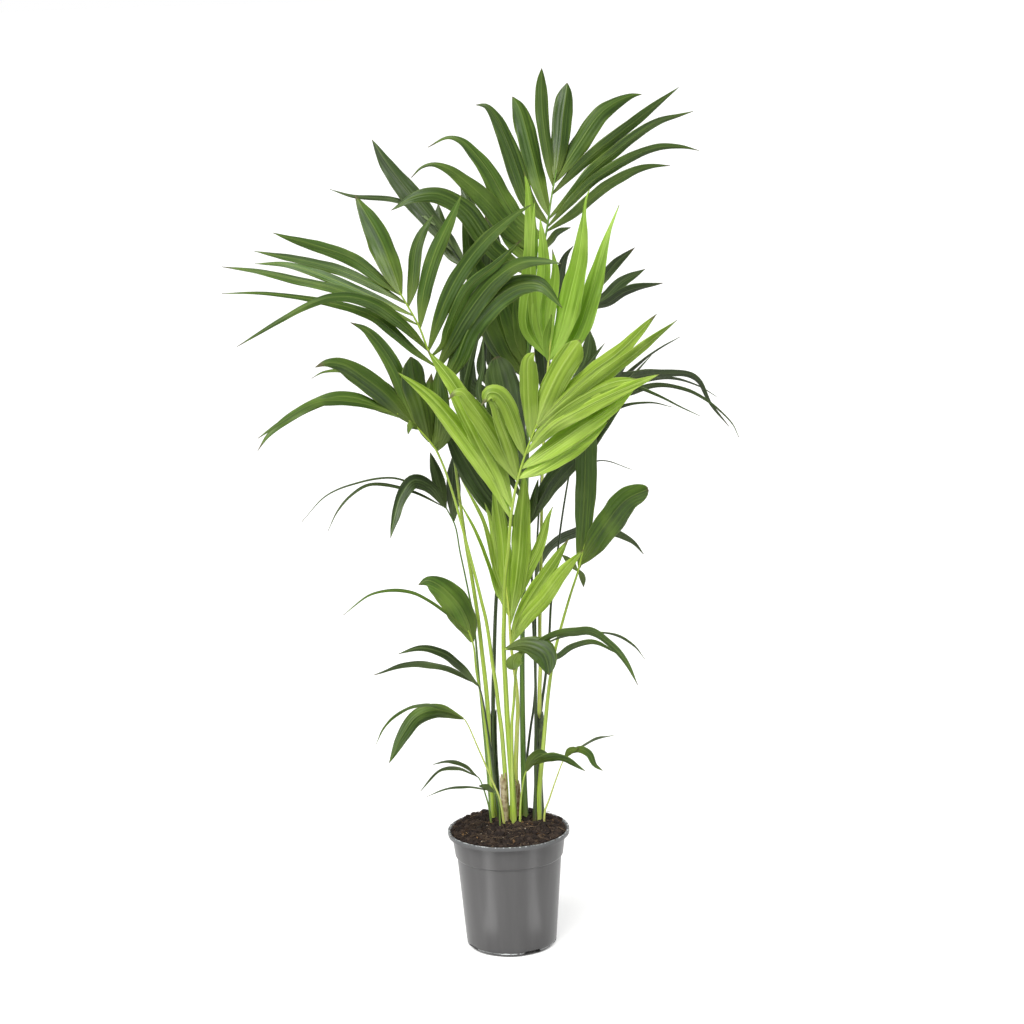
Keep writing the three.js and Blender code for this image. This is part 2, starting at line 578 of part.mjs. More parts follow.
const OUTER_WALL = [
  [FOOT_RADIUS, 1], [FOOT_RADIUS + 3.6, 4], [FOOT_RADIUS + 5.4, 9],
  [75.3, 133.5], [77.8, 136], [81.8, 164], [83.6, 169],
];
const LIP = [
  [85.4, 171.8], [88.5, 173.2], [88.7, 169.8], [RIM_RADIUS, 169.8], [RIM_RADIUS, POT_HEIGHT - 0.8],
  [RIM_RADIUS - 0.9, POT_HEIGHT], [RIM_RADIUS - 2.4, POT_HEIGHT], [84.2, 173.2],
];

/** The pot's inner wall at r, z pairs, from the lip down to the floor. */
function innerWall(inset) {
  return [...OUTER_WALL].reverse().map(([r, z]) => [r - inset, Math.max(z, WALL)]);
}

function box(width, depth, height, x, y, z) {
  return new THREE.BoxGeometry(width, depth, height).translate(x, y, z);
}

function pot() {
  const floor = [[0, 0], [FOOT_RADIUS - 4, 0]];
  const inside = [...innerWall(WALL), [FOOT_RADIUS - 4, WALL], [0, WALL]];
  let body = solid(turned([...floor, ...OUTER_WALL, ...LIP, ...inside]));
  const whole = solid(turned([...floor, ...OUTER_WALL, [0, OUTER_WALL.at(-1)[1]]]));
  const reach = FOOT_RADIUS + 12 - CHANNEL_START;
  const middle = CHANNEL_START + reach / 2;
  for (let i = 0; i < CHANNELS; i += 1) {
    const turn = CHANNEL_TURN + (2 * Math.PI * i) / CHANNELS;
    const roofHeight = CHANNEL_HEIGHT + WALL;
    const roof = box(CHANNEL_WIDTH + 2 * WALL, reach + 2 * WALL, roofHeight, 0, -middle, roofHeight / 2);
    const channel = box(CHANNEL_WIDTH, reach, 2 * CHANNEL_HEIGHT, 0, -middle, 0);
    const drain = new THREE.CylinderGeometry(DRAIN_RADIUS, DRAIN_RADIUS, 4 * WALL, 10)
      .rotateX(Math.PI / 2).translate(0, -(CHANNEL_START + 12), roofHeight);
    body = body.add(solid(roof.rotateZ(turn)).intersect(whole));
    body = body.subtract(solid(channel.rotateZ(turn))).subtract(solid(drain.rotateZ(turn)));
  }
  return body;
}

// ---- soil ---------------------------------------------------------------------------------

/** A repeatable waviness of the soil's surface, within one unit either way. */
function lumps(x, y) {
  return 0.5 * Math.sin(0.19 * x + 1.3) * Math.cos(0.23 * y - 0.4) + 0.5 * Math.sin(0.41 * x - 0.37 * y);
}

function soil(holes) {
  const side = innerWall(WALL + 1.3 * CLEARANCE).reverse().filter(([, z]) => z > SOIL_FLOOR + 1);
  const floorRadius = FOOT_RADIUS + 3.6 - WALL - 1.3 * CLEARANCE;
  const surface = [[72, 174.5], [52, 178], [28, 180.4]];
  const profile = [[0, SOIL_FLOOR], [floorRadius, SOIL_FLOOR], ...side, ...surface, [0, SOIL_TOP]];
  const geometry = turned(profile);
  const position = geometry.getAttribute('position');
  for (let i = 0; i < position.count; i += 1) {
    const [x, y, z] = [position.getX(i), position.getY(i), position.getZ(i)];
    if (z > surface[0][1] - 1) position.setZ(i, z + 1.1 * lumps(x, y));
  }
  let body = solid(geometry);
  for (const { x, depth, radius } of holes) {
    const sides = radius > 4.5 ? 10 : 8;
    const clear = (radius + CLEARANCE) / Math.cos(Math.PI / sides);
    const height = 2 * (STEM_COLLAR - STEM_FOOT);
    const hole = new THREE.CylinderGeometry(clear, clear, height, sides).rotateX(Math.PI / 2);
    const middle = STEM_FOOT - CLEARANCE + height / 2;
    body = body.subtract(solid(hole.translate(x, -depth, middle)));
  }
  return body;
}

// ---- the whole plant ----------------------------------------------------------------------

const holes = Object.values(FRONDS).map(({ foot, radius }) => ({
  x: foot[0], depth: foot[1], radius: radius[0],
}));
holes.push(...Object.values(DRY_SHEATHS));
holes.push({ x: FRONDS.frond_young.foot[0], depth: FRONDS.frond_young.foot[1], radius: YOUNG_SHEATH.radius });

const palm = new THREE.Group();
palm.add(piece('pot', pot(), 0x676868, 0.45));
palm.add(piece('soil', soil(holes), 0x35261e, 0.95));
for (const [name, spec] of Object.entries(FRONDS)) {
  palm.add(piece(name, frond(spec), spec.colour, 0.5));
}
for (const [name, spec] of Object.entries(DRY_SHEATHS)) {
  palm.add(piece(name, drySheath(spec), DRY_BROWN, 0.85));
}
palm.add(piece('young_sheath', youngSheath(FRONDS.frond_young), SHEATH_DARK, 0.7));

export default palm;
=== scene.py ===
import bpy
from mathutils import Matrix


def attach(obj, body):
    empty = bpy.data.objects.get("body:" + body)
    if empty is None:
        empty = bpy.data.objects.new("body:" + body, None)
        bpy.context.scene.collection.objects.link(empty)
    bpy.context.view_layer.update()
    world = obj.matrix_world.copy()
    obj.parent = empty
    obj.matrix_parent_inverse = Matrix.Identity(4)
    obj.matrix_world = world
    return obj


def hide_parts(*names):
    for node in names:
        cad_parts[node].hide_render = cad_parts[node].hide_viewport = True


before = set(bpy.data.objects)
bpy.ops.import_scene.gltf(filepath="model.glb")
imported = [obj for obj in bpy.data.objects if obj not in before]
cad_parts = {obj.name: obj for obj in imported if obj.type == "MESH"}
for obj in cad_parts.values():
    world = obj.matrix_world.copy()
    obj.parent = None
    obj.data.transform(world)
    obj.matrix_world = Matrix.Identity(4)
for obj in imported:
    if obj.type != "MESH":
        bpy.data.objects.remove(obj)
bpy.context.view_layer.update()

"""A kentia-type palm in a grey plastic nursery pot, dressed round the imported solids.

The pot, the soil and every frond of the frame get a finer piece of the same form. Metres, +Z up,
and the plant's front faces -Y.
"""
import logging
import math
import random
from dataclasses import dataclass, field
from enum import Enum
from functools import partial
from typing import Any, Sequence

import bpy
import numpy as np
from bpy.types import Material, Mesh, Node, NodeSocket, NodeTree, Object
from mathutils import Matrix, Vector, noise

LOG = logging.getLogger("palm")

MM = 0.001
BODY = "root"

# The camera's place, from which the fronds are described: see seen().
EYE = np.array([19.0, -4000.0, 1529.0]) * MM
CAMERA_PITCH = math.radians(12.3)
CAMERA_ROLL = math.radians(1.7)
SENSOR = 36.0
FOCAL_SHARE = 2833 / 1024  # focal length over picture width

STEM_FOOT = 152 * MM
STEM_COLLAR = 186 * MM


# ---- nodes and meshes ----


def colour(hex_value: int) -> tuple[float, float, float, float]:
    """The linear RGBA of an sRGB hex value.

    Args:
        hex_value: Six hex digits, red first.

    Returns:
        Linear red, green, blue and an alpha of 1.
    """
    channels = [((hex_value >> shift) & 255) / 255 for shift in (16, 8, 0)]
    linear = [c / 12.92 if c <= 0.04045 else ((c + 0.055) / 1.055) ** 2.4 for c in channels]
    return (*linear, 1.0)


def add_node(
    tree: NodeTree, kind: str, inputs: dict[str | int, Any] | tuple = (), **settings: Any
) -> Node:
    """Adds a node with its settings, values and links.

    Args:
        tree: The node tree that takes it.
        kind: The node's type name.
        inputs: What its inputs get, by name or in order: a value, an output socket, or a node for
            its first output.
        settings: Properties of the node.

    Returns:
        The new node.
    """
    node = tree.nodes.new(kind)
    for name, value in settings.items():
        setattr(node, name, value)
    for key, value in inputs.items() if isinstance(inputs, dict) else enumerate(inputs):
        source = value.outputs[0] if isinstance(value, Node) else value
        if isinstance(source, NodeSocket):
            tree.links.new(source, node.inputs[key])
        else:
            node.inputs[key].default_value = source
    return node


def blank_material(name: str) -> tuple[Material, NodeTree]:
    """A material with an empty node tree.

    Args:
        name: The material's name.

    Returns:
        The material and its tree.
    """
    material = bpy.data.materials.new(name)
    material.use_nodes = True
    material.node_tree.nodes.clear()
    return material, material.node_tree


def plain_mesh(
    name: str,
    points: np.ndarray,
    edges: Sequence[Sequence[int]] = (),
    faces: Sequence[Sequence[int]] = (),
    attributes: dict[str, np.ndarray] | None = None,
) -> Mesh:
    """A mesh from numbers, with attributes on its points.

    Args:
        name: The mesh's name.
        points: Places, in metres.
        edges: Pairs of points.
        faces: Rings of points.
        attributes: One number or one vector for each point, by name.

    Returns:
        The mesh.
    """
    mesh = bpy.data.meshes.new(name)
    mesh.from_pydata(points.tolist(), list(edges), list(faces))
    for key, values in (attributes or {}).items():
        vector = values.ndim == 2
        kind, slot = ("FLOAT_VECTOR", "vector") if vector else ("FLOAT", "value")
        mesh.attributes.new(key, kind, "POINT").data.foreach_set(slot, values.astype(np.float32).ravel())
    return mesh


def placed(name: str, mesh: Mesh) -> Object:
    """An object at the origin that shows a mesh.

    Args:
        name: The piece's name.
        mesh: Its mesh, in place.

    Returns:
        The object, in the scene.
    """
    piece = bpy.data.objects.new(name, mesh)
    bpy.context.scene.collection.objects.link(piece)
    return piece


def ring_faces(low: int, around: int, flip: bool = False) -> list[tuple[int, ...]]:
    """Quads between two rings of points that follow each other.

    Args:
        low: Place of the first ring's first point.
        around: Points in a ring.
        flip: Whether the quads face the other way.

    Returns:
        The faces.
    """
    faces = []
    for k in range(around):
        a, b = low + k, low + (k + 1) % around
        faces.append((a, a + around, b + around, b) if flip else (a, b, b + around, a + around))
    return faces


def finished(piece: Object, node: str = "", finish: Any = None, sharp: float = 0.0) -> Object:
    """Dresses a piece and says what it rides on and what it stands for.

    Args:
        piece: The piece.
        node: The frame's node that it replaces, if any.
        finish: Its finish, where its mesh has none yet.
        sharp: Degrees between two faces from which their edge stays sharp.

    Returns:
        The piece.
    """
    mesh = piece.data
    if finish:
        mesh.materials.clear()
        mesh.materials.append(finish_of(finish))
        mesh.polygons.foreach_set("use_smooth", [True] * len(mesh.polygons))
    if sharp:
        mesh.set_sharp_from_angle(angle=math.radians(sharp))
    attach(piece, BODY)
    if node:
        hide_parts(node)
    LOG.info("%s: %d faces", piece.name, len(mesh.polygons))
    return piece


# what paths and sections carry for the sweep, and the data type of each
CARRIED = {
    **dict.fromkeys(("stalk", "half", "run", "seed", "tint", "wither", "drop", "lean"), "FLOAT"),
    **dict.fromkeys(("wave_low", "wave_high", "across", "under"), "FLOAT"),
    **dict.fromkeys(("side", "out", "section"), "FLOAT_VECTOR"),
}


def grown(name: str, mesh: Mesh, tree: NodeTree, inputs: dict[str, Any], keep: Sequence[str] = ()) -> Mesh:
    """Runs a geometry tree on a mesh and returns the plain result.

    Args:
        name: Name of the result.
        mesh: What the tree starts from.
        tree: The geometry tree.
        inputs: Values of the tree's inputs, by name.
        keep: Attributes that stay on the result, besides Blender's own.

    Returns:
        The result, without modifiers.
    """
    carrier = placed(name + "_start", mesh)
    modifier = carrier.modifiers.new("grow", "NODES")
    modifier.node_group = tree
    for item in tree.interface.items_tree:
        if item.item_type == "SOCKET" and item.in_out == "INPUT" and item.name in inputs:
            modifier[item.identifier] = inputs[item.name]
    depsgraph = bpy.context.evaluated_depsgraph_get()
    result = bpy.data.meshes.new_from_object(
        carrier.evaluated_get(depsgraph), preserve_all_data_layers=True, depsgraph=depsgraph
    )
    carrier.modifiers.remove(modifier)
    bpy.data.objects.remove(carrier)
    result.name = name
    spare = [a.name for a in result.attributes if a.name in CARRIED and a.name not in keep]
    for key in spare:
        result.attributes.remove(result.attributes[key])
    return result


def new_tree(name: str, inputs: dict[str, tuple[str, Any]]) -> tuple[NodeTree, Node]:
    """A geometry tree with named inputs and one geometry output.

    Args:
        name: The tree's name.
        inputs: Socket type and default value, by input name.

    Returns:
        The tree and its input node.
    """
    tree = bpy.data.node_groups.new(name, "GeometryNodeTree")
    tree.interface.new_socket("Geometry", in_out="INPUT", socket_type="NodeSocketGeometry")
    for key, (kind, value) in inputs.items():
        socket = tree.interface.new_socket(key, in_out="INPUT", socket_type=kind)
        if value is not None:
            socket.default_value = value
    tree.interface.new_socket("Geometry", in_out="OUTPUT", socket_type="NodeSocketGeometry")
    return tree, tree.nodes.new("NodeGroupInput")


# ---- finishes ----


@dataclass(frozen=True)
class Finish:
    """What all finishes share: a name, and ways to draw a pattern, mix colours and lay a skin."""

    name: str

    def streaks(self, tree: NodeTree, where: Any, pitch: tuple, detail: float = 2.0) -> NodeSocket:
        """Noise that is drawn out along one way.

        Args:
            tree: The material's tree.
            where: Its coordinates.
            pitch: How each of the three is scaled.
            detail: Octaves of the noise.

        Returns:
            The noise, from 0 to 1.
        """
        drawn = add_node(tree, "ShaderNodeVectorMath", (where, pitch), operation="MULTIPLY")
        made = add_node(tree, "ShaderNodeTexNoise", {"Vector": drawn, "Scale": 1.0, "Detail": detail})
        return made.outputs["Fac"]

    def blend(self, tree: NodeTree, by: tuple, under: Any, over: Any, most: float = 1.0) -> NodeSocket:
        """Lays one colour over another where a value passes from one number to the next.

        Args:
            tree: The material's tree.
            by: The value, where it starts and where it is full.
            under: The colour below.
            over: The colour above.
            most: How much of the upper colour shows at most.

        Returns:
            The mixed colour.
        """
        value, start, full = by
        share = add_node(
            tree, "ShaderNodeMapRange",
            {"Value": value, "From Min": start, "From Max": full, "To Max": most},
            interpolation_type="SMOOTHSTEP",
        )
        mixed = add_node(tree, "ShaderNodeMix", {0: share, 6: under, 7: over}, data_type="RGBA")
        return mixed.outputs[2]

    def surface(
        self, tree: NodeTree, ground: Any, roughness: Any, height: Any, bump: tuple, more: dict[str, Any]
    ) -> NodeSocket:
        """A skin in relief.

        Args:
            tree: The material's tree.
            ground: The skin's colour.
            roughness: Its roughness.
            height: The pattern that stands out.
            bump: The relief's strength, and its depth in metres.
            more: Further inputs of the skin.

        Returns:
            The shader.
        """
        strength, depth = bump
        relief = add_node(tree, "ShaderNodeBump", {"Strength": strength, "Distance": depth, "Height": height})
        inputs = {"Base Color": ground, "Roughness": roughness, "Normal": relief, **more}
        return add_node(tree, "ShaderNodeBsdfPrincipled", inputs).outputs[0]


MADE: dict[str, Material] = {}


def finish_of(finish: Finish) -> Material:
    """A finish's material, made once.

    Args:
        finish: Any finish.

    Returns:
        Its material.
    """
    if finish.name not in MADE:
        MADE[finish.name] = finish.material()
    return MADE[finish.name]


@dataclass(frozen=True)
class LeafFinish(Finish):
    """Palm leaflet: a waxy skin over fine ribs that run from end to end, and let light through."""

    dark: int
    mid: int
    light: int
    rib: int
    glow: int
    through: float
    rib_shows: float = 0.4
    roughness: float = 0.4
    withered: int = 0x5E5138

    def material(self) -> Material:
        """The leaflet's material.

        Returns:
            Streaks, midrib, brown tips and a paler underside, on the blade's own coordinates.
        """
        material, tree = blank_material(self.name)
        add = partial(add_node, tree)
        blade = add("ShaderNodeAttribute", attribute_name="blade").outputs["Vector"]
        traits = add("ShaderNodeAttribute", attribute_name="traits").outputs["Vector"]
        trait = add("ShaderNodeSeparateXYZ", (traits,))
        place = add("ShaderNodeSeparateXYZ", (blade,))
        # ribs stand about 1 mm apart and show as fine streaks; they are drawn 1.6 mm apart to show
        fine = self.streaks(tree, blade, (0.62, 1.0, 0.008), 3.0)
        broad = self.streaks(tree, blade, (0.16, 1.0, 0.004), 1.5)
        where = add("ShaderNodeTexCoord").outputs["Object"]
        patch = add("ShaderNodeTexNoise", {"Vector": where, "Scale": 14.0, "Detail": 2.0})
        ground = self.blend(tree, (broad, 0.34, 0.66), colour(self.dark), colour(self.mid))
        ground = self.blend(tree, (patch, 0.5, 0.85), ground, colour(self.light))
        ground = self.blend(tree, (fine, 0.45, 0.85), ground, colour(self.light))
        aside = add("ShaderNodeMath", (place.outputs["X"],), operation="ABSOLUTE")
        ground = self.blend(tree, (aside, 0.9, 0.25), ground, colour(self.rib), self.rib_shows)
        ground = self.blend(tree, (place.outputs["Z"], 60.0, 5.0), ground, colour(self.rib), 0.5)
        toned = add("ShaderNodeHueSaturation", {"Color": ground})
        value = add("ShaderNodeMapRange", {"Value": trait.outputs["X"], "To Min": 0.8, "To Max": 1.22})
        tree.links.new(value.outputs[0], toned.inputs["Value"])
        ground = self.blend(tree, (trait.outputs["Z"], 0.9, 1.0), toned, colour(self.rib), 0.5)
        ground = self.blend(tree, (trait.outputs["Z"], 1.2, 1.6), ground, colour(self.light), 0.25)
        ground = self.blend(tree, (trait.outputs["Y"], 0.0, 1.0), ground, colour(self.withered), 0.85)
        ridge = add(
            "ShaderNodeMapRange", {"Value": aside, "From Min": 1.0, "From Max": 0.2, "To Max": 0.6},
            interpolation_type="SMOOTHSTEP",
        )
        relief = add("ShaderNodeMath", (fine, ridge), operation="ADD")
        gloss = add(
            "ShaderNodeMapRange",
            {"Value": fine, "To Min": self.roughness - 0.06, "To Max": self.roughness + 0.1},
        )
        wax = {"IOR": 1.44, "Specular IOR Level": 0.5}
        skin = self.surface(tree, ground, gloss, relief, (0.55, 0.0006), wax)
        lit = add(
            "ShaderNodeMix", {0: 0.55, 6: colour(self.glow), 7: ground}, data_type="RGBA",
            blend_type="MULTIPLY",
        )
        through = add("ShaderNodeBsdfTranslucent", {"Color": lit.outputs[2]})
        both = add("ShaderNodeMixShader", (self.through, skin, through))
        add("ShaderNodeOutputMaterial", {"Surface": both})
        return material


@dataclass(frozen=True)
class StalkFinish(Finish):
    """Petiole and rachis: smooth, firm and waxy, finely lined from end to end."""

    skin: int
    line: int
    shade: int
    foot: int

    def material(self) -> Material:
        """The stalk's material.

        Returns:
            Long lines of light and shade, with a paler and drier foot at the soil.
        """
        material, tree = blank_material(self.name)
        add = partial(add_node, tree)
        blade = add("ShaderNodeAttribute", attribute_name="blade").outputs["Vector"]
        # lines 0.5 to 2 mm apart
        lines = self.streaks(tree, blade, (0.55, 0.55, 0.006), 3.0)
        mottle = self.streaks(tree, blade, (0.35, 0.35, 0.09), 4.0)
        ground = self.blend(tree, (lines, 0.3, 0.55), colour(self.shade), colour(self.skin))
        ground = self.blend(tree, (lines, 0.55, 0.8), ground, colour(self.line))
        place = add("ShaderNodeTexCoord").outputs["Object"]
        height = add("ShaderNodeSeparateXYZ", (place,)).outputs["Z"]
        ragged = add("ShaderNodeMath", (mottle, -0.07, height), operation="MULTIPLY_ADD")
        ground = self.blend(tree, (ragged, 0.17, 0.142), ground, colour(self.foot), 0.6)
        flesh = {"Subsurface Weight": 0.12, "Subsurface Radius": (0.3, 0.5, 0.1), "Subsurface Scale": 0.004}
        skin = self.surface(tree, ground, 0.36, lines, (0.35, 0.0004), {"IOR": 1.47, **flesh})
        add("ShaderNodeOutputMaterial", {"Surface": skin})
        return material


class Leaf(Enum):
    """Ages of a frond's leaflets, and two sets painted for light: BRIGHT, a paler green that also paints the
    light on the front fronds, and SHADED, a dark green that paints the shade deep inside the plant.
    """

    DEEP = LeafFinish("leaflet_deep", 0x324A18, 0x4A6622, 0x6E8834, 0x8EA24C, 0xA8CC40, 0.26, 0.3)
    FRESH = LeafFinish("leaflet_fresh", 0x38521C, 0x507026, 0x7A943A, 0x96AA52, 0xB2D050, 0.3, 0.35)
    # painted shade: leaflets deep in the plant are coloured darker
    SHADED = LeafFinish("leaflet_shaded", 0x2A3A18, 0x3A4E22, 0x60743E, 0x7C8E58, 0x90A848, 0.2, 0.3)
    # partly painted light: the front fronds' leaflets are coloured lighter than their own green
    BRIGHT = LeafFinish("leaflet_bright", 0x7A9A28, 0xB0CC4E, 0xD8EC80, 0xDCEE8C, 0xE4F878, 0.34, 0.5)
    YOUNG = LeafFinish("leaflet_young", 0x789A30, 0x9ABA46, 0xBAD468, 0xCEEA76, 0xDCF870, 0.38, 0.5)


class Stalk(Enum):
    """Colours of the petioles; DARK is painted shade, for the petioles deep in the plant."""

    LIME = StalkFinish("petiole_lime", 0xB4D04E, 0xE4F29A, 0x84A038, 0xB4A878)
    YELLOW = StalkFinish("petiole_yellow", 0xD4E268, 0xF2F4B0, 0xA6BC48, 0xC8BA84)
    GREEN = StalkFinish("petiole_green", 0x6E923A, 0x98B45C, 0x466428, 0x9A9064)
    # painted shade: petioles deep in the plant are coloured near black-green
    DARK = StalkFinish("petiole_dark", 0x38491F, 0x5A703C, 0x24331A, 0x6E5E44)


@dataclass(frozen=True)
class PotPlastic(Finish):
    """Grey polypropylene from an injection mould, with a satin skin and broken pale glints painted along its
    edges.
    """

    name: str = "pot_polypropylene"
    body: int = 0x545353
    # the lip is painted a little lighter than the body, for the light in its thin translucent rim
    lip: int = 0x666869
    # the pale colour of the painted glints (highlights) on the edges
    painted_glint: int = 0xD2D6D6
    flow_mark: int = 0x5B5A5A
    roughness: float = 0.3

    def material(self) -> Material:
        """The pot's material.

        Returns:
            Satin grey with faint flow marks, a lip painted a little lighter for the light in its thin rim,
            and broken pale highlights painted along the lip and the foot tabs.
        """
        material, tree = blank_material(self.name)
        add = partial(add_node, tree)
        place = add("ShaderNodeTexCoord").outputs["Object"]
        height = add("ShaderNodeSeparateXYZ", (place,)).outputs["Z"]
        # flow marks run up the wall, about 15 mm apart
        flow = self.streaks(tree, place, (60, 60, 5))
        grit = add("ShaderNodeTexNoise", {"Vector": place, "Scale": 1300.0, "Detail": 2.0})
        wear_and_glint = add("ShaderNodeTexNoise", {"Vector": place, "Scale": 190.0, "Detail": 4.0})
        # painted glints: pale highlights along the tabs' upper edges, which stand 5.4 mm up, and along the
        # lip's edge, 178 mm up
        above = add("ShaderNodeMath", (height, 0.0054), operation="SUBTRACT")
        near = add("ShaderNodeMath", (above,), operation="ABSOLUTE")
        low = add(
            "ShaderNodeMapRange", {"Value": near, "From Min": 0.0011, "From Max": 0.0003, "To Max": 0.42}
        )
        high = add(
            "ShaderNodeMapRange", {"Value": height, "From Min": 0.1766, "From Max": 0.1778, "To Max": 0.26}
        )
        edge = add("ShaderNodeMath", (low, high), operation="ADD")
        painted_glint_mask = add("ShaderNodeMath", (wear_and_glint, edge), operation="ADD")
        ground = self.blend(tree, (flow, 0.3, 0.75), colour(self.body), colour(self.flow_mark))
        # painted light: the lip band shows lighter than the wall
        ground = self.blend(tree, (height, 0.1705, 0.1765), ground, colour(self.lip), 0.8)
        # painted highlights: pale glints where the noise peaks along the lip's edge and the tabs' edges
        ground = self.blend(tree, (painted_glint_mask, 0.76, 0.86), ground, colour(self.painted_glint), 0.9)
        gloss = add(
            "ShaderNodeMapRange",
            {"Value": wear_and_glint, "To Min": self.roughness - 0.04, "To Max": self.roughness + 0.06},
        )
        skin = self.surface(tree, ground, gloss, grit, (0.06, 0.0002), {"IOR": 1.49})
        add("ShaderNodeOutputMaterial", {"Surface": skin})
        return material


@dataclass(frozen=True)
class EarthFinish(Finish):
    """Peat, bark or root: matt and damp."""

    dark: int
    mid: int
    light: int
    grain: float
    roughness: float = 0.85

    def material(self) -> Material:
        """The material of one kind of crumb or fibre.

        Returns:
            Broken brown, varied from crumb to crumb by their tint.
        """
        material, tree = blank_material(self.name)
        add = partial(add_node, tree)
        place = add("ShaderNodeTexCoord").outputs["Object"]
        tint = add("ShaderNodeAttribute", attribute_name="tint").outputs["Fac"]
        grain = add("ShaderNodeTexNoise", {"Vector": place, "Scale": self.grain, "Detail": 5.0})
        ground = self.blend(tree, (grain, 0.35, 0.65), colour(self.dark), colour(self.mid))
        ground = self.blend(tree, (tint, 0.55, 1.0), ground, colour(self.light), 0.8)
        skin = self.surface(tree, ground, self.roughness, grain, (0.8, 0.0006), {"IOR": 1.4})
        add("ShaderNodeOutputMaterial", {"Surface": skin})
        return material


class Earth(Enum):
    """What the soil is made of."""

    PEAT = EarthFinish("soil_peat", 0x18110D, 0x2C211A, 0x42352B, 420.0)
    CRUMB = EarthFinish("soil_crumb", 0x1C1410, 0x352922, 0x55483C, 650.0)
    FIBRE = EarthFinish("soil_fibre", 0x3C2E22, 0x5C4938, 0x8C785E, 300.0)
    BARK = EarthFinish("soil_bark", 0x4A3322, 0x6E5236, 0x96764C, 380.0)
    PALE = EarthFinish("soil_pale_grain", 0x9C8E7C, 0xC2B8A6, 0xE0D8C8, 500.0)


@dataclass(frozen=True)
class SheathFinish(Finish):
    """Old leaf base, dried to papery fibre."""

    dark: int
    mid: int
    light: int
    roughness: float

    def material(self) -> Material:
        """The sheath's material.

        Returns:
            Close upright fibres with darker blotches.
        """
        material, tree = blank_material(self.name)
        add = partial(add_node, tree)
        place = add("ShaderNodeTexCoord").outputs["Object"]
        # fibres about 1 mm apart, drawn out upwards
        fibres = self.streaks(tree, place, (1100, 1100, 28), 4.0)
        blotch = add("ShaderNodeTexNoise", {"Vector": place, "Scale": 130.0, "Detail": 4.0})
        ground = self.blend(tree, (blotch, 0.42, 0.6), colour(self.mid), colour(self.dark))
        ground = self.blend(tree, (fibres, 0.48, 0.72), ground, colour(self.light), 0.85)
        skin = self.surface(tree, ground, self.roughness, fibres, (0.8, 0.0008), {})
        add("ShaderNodeOutputMaterial", {"Surface": skin})
        return material


DRY_FIBRE = SheathFinish("sheath_dry", 0x8C7048, 0xC4B48A, 0xECE6C8, 0.75)
GREEN_FIBRE = SheathFinish("sheath_green", 0x2E3A20, 0x465630, 0x7C8C58, 0.5)

# ---- geometry trees ----


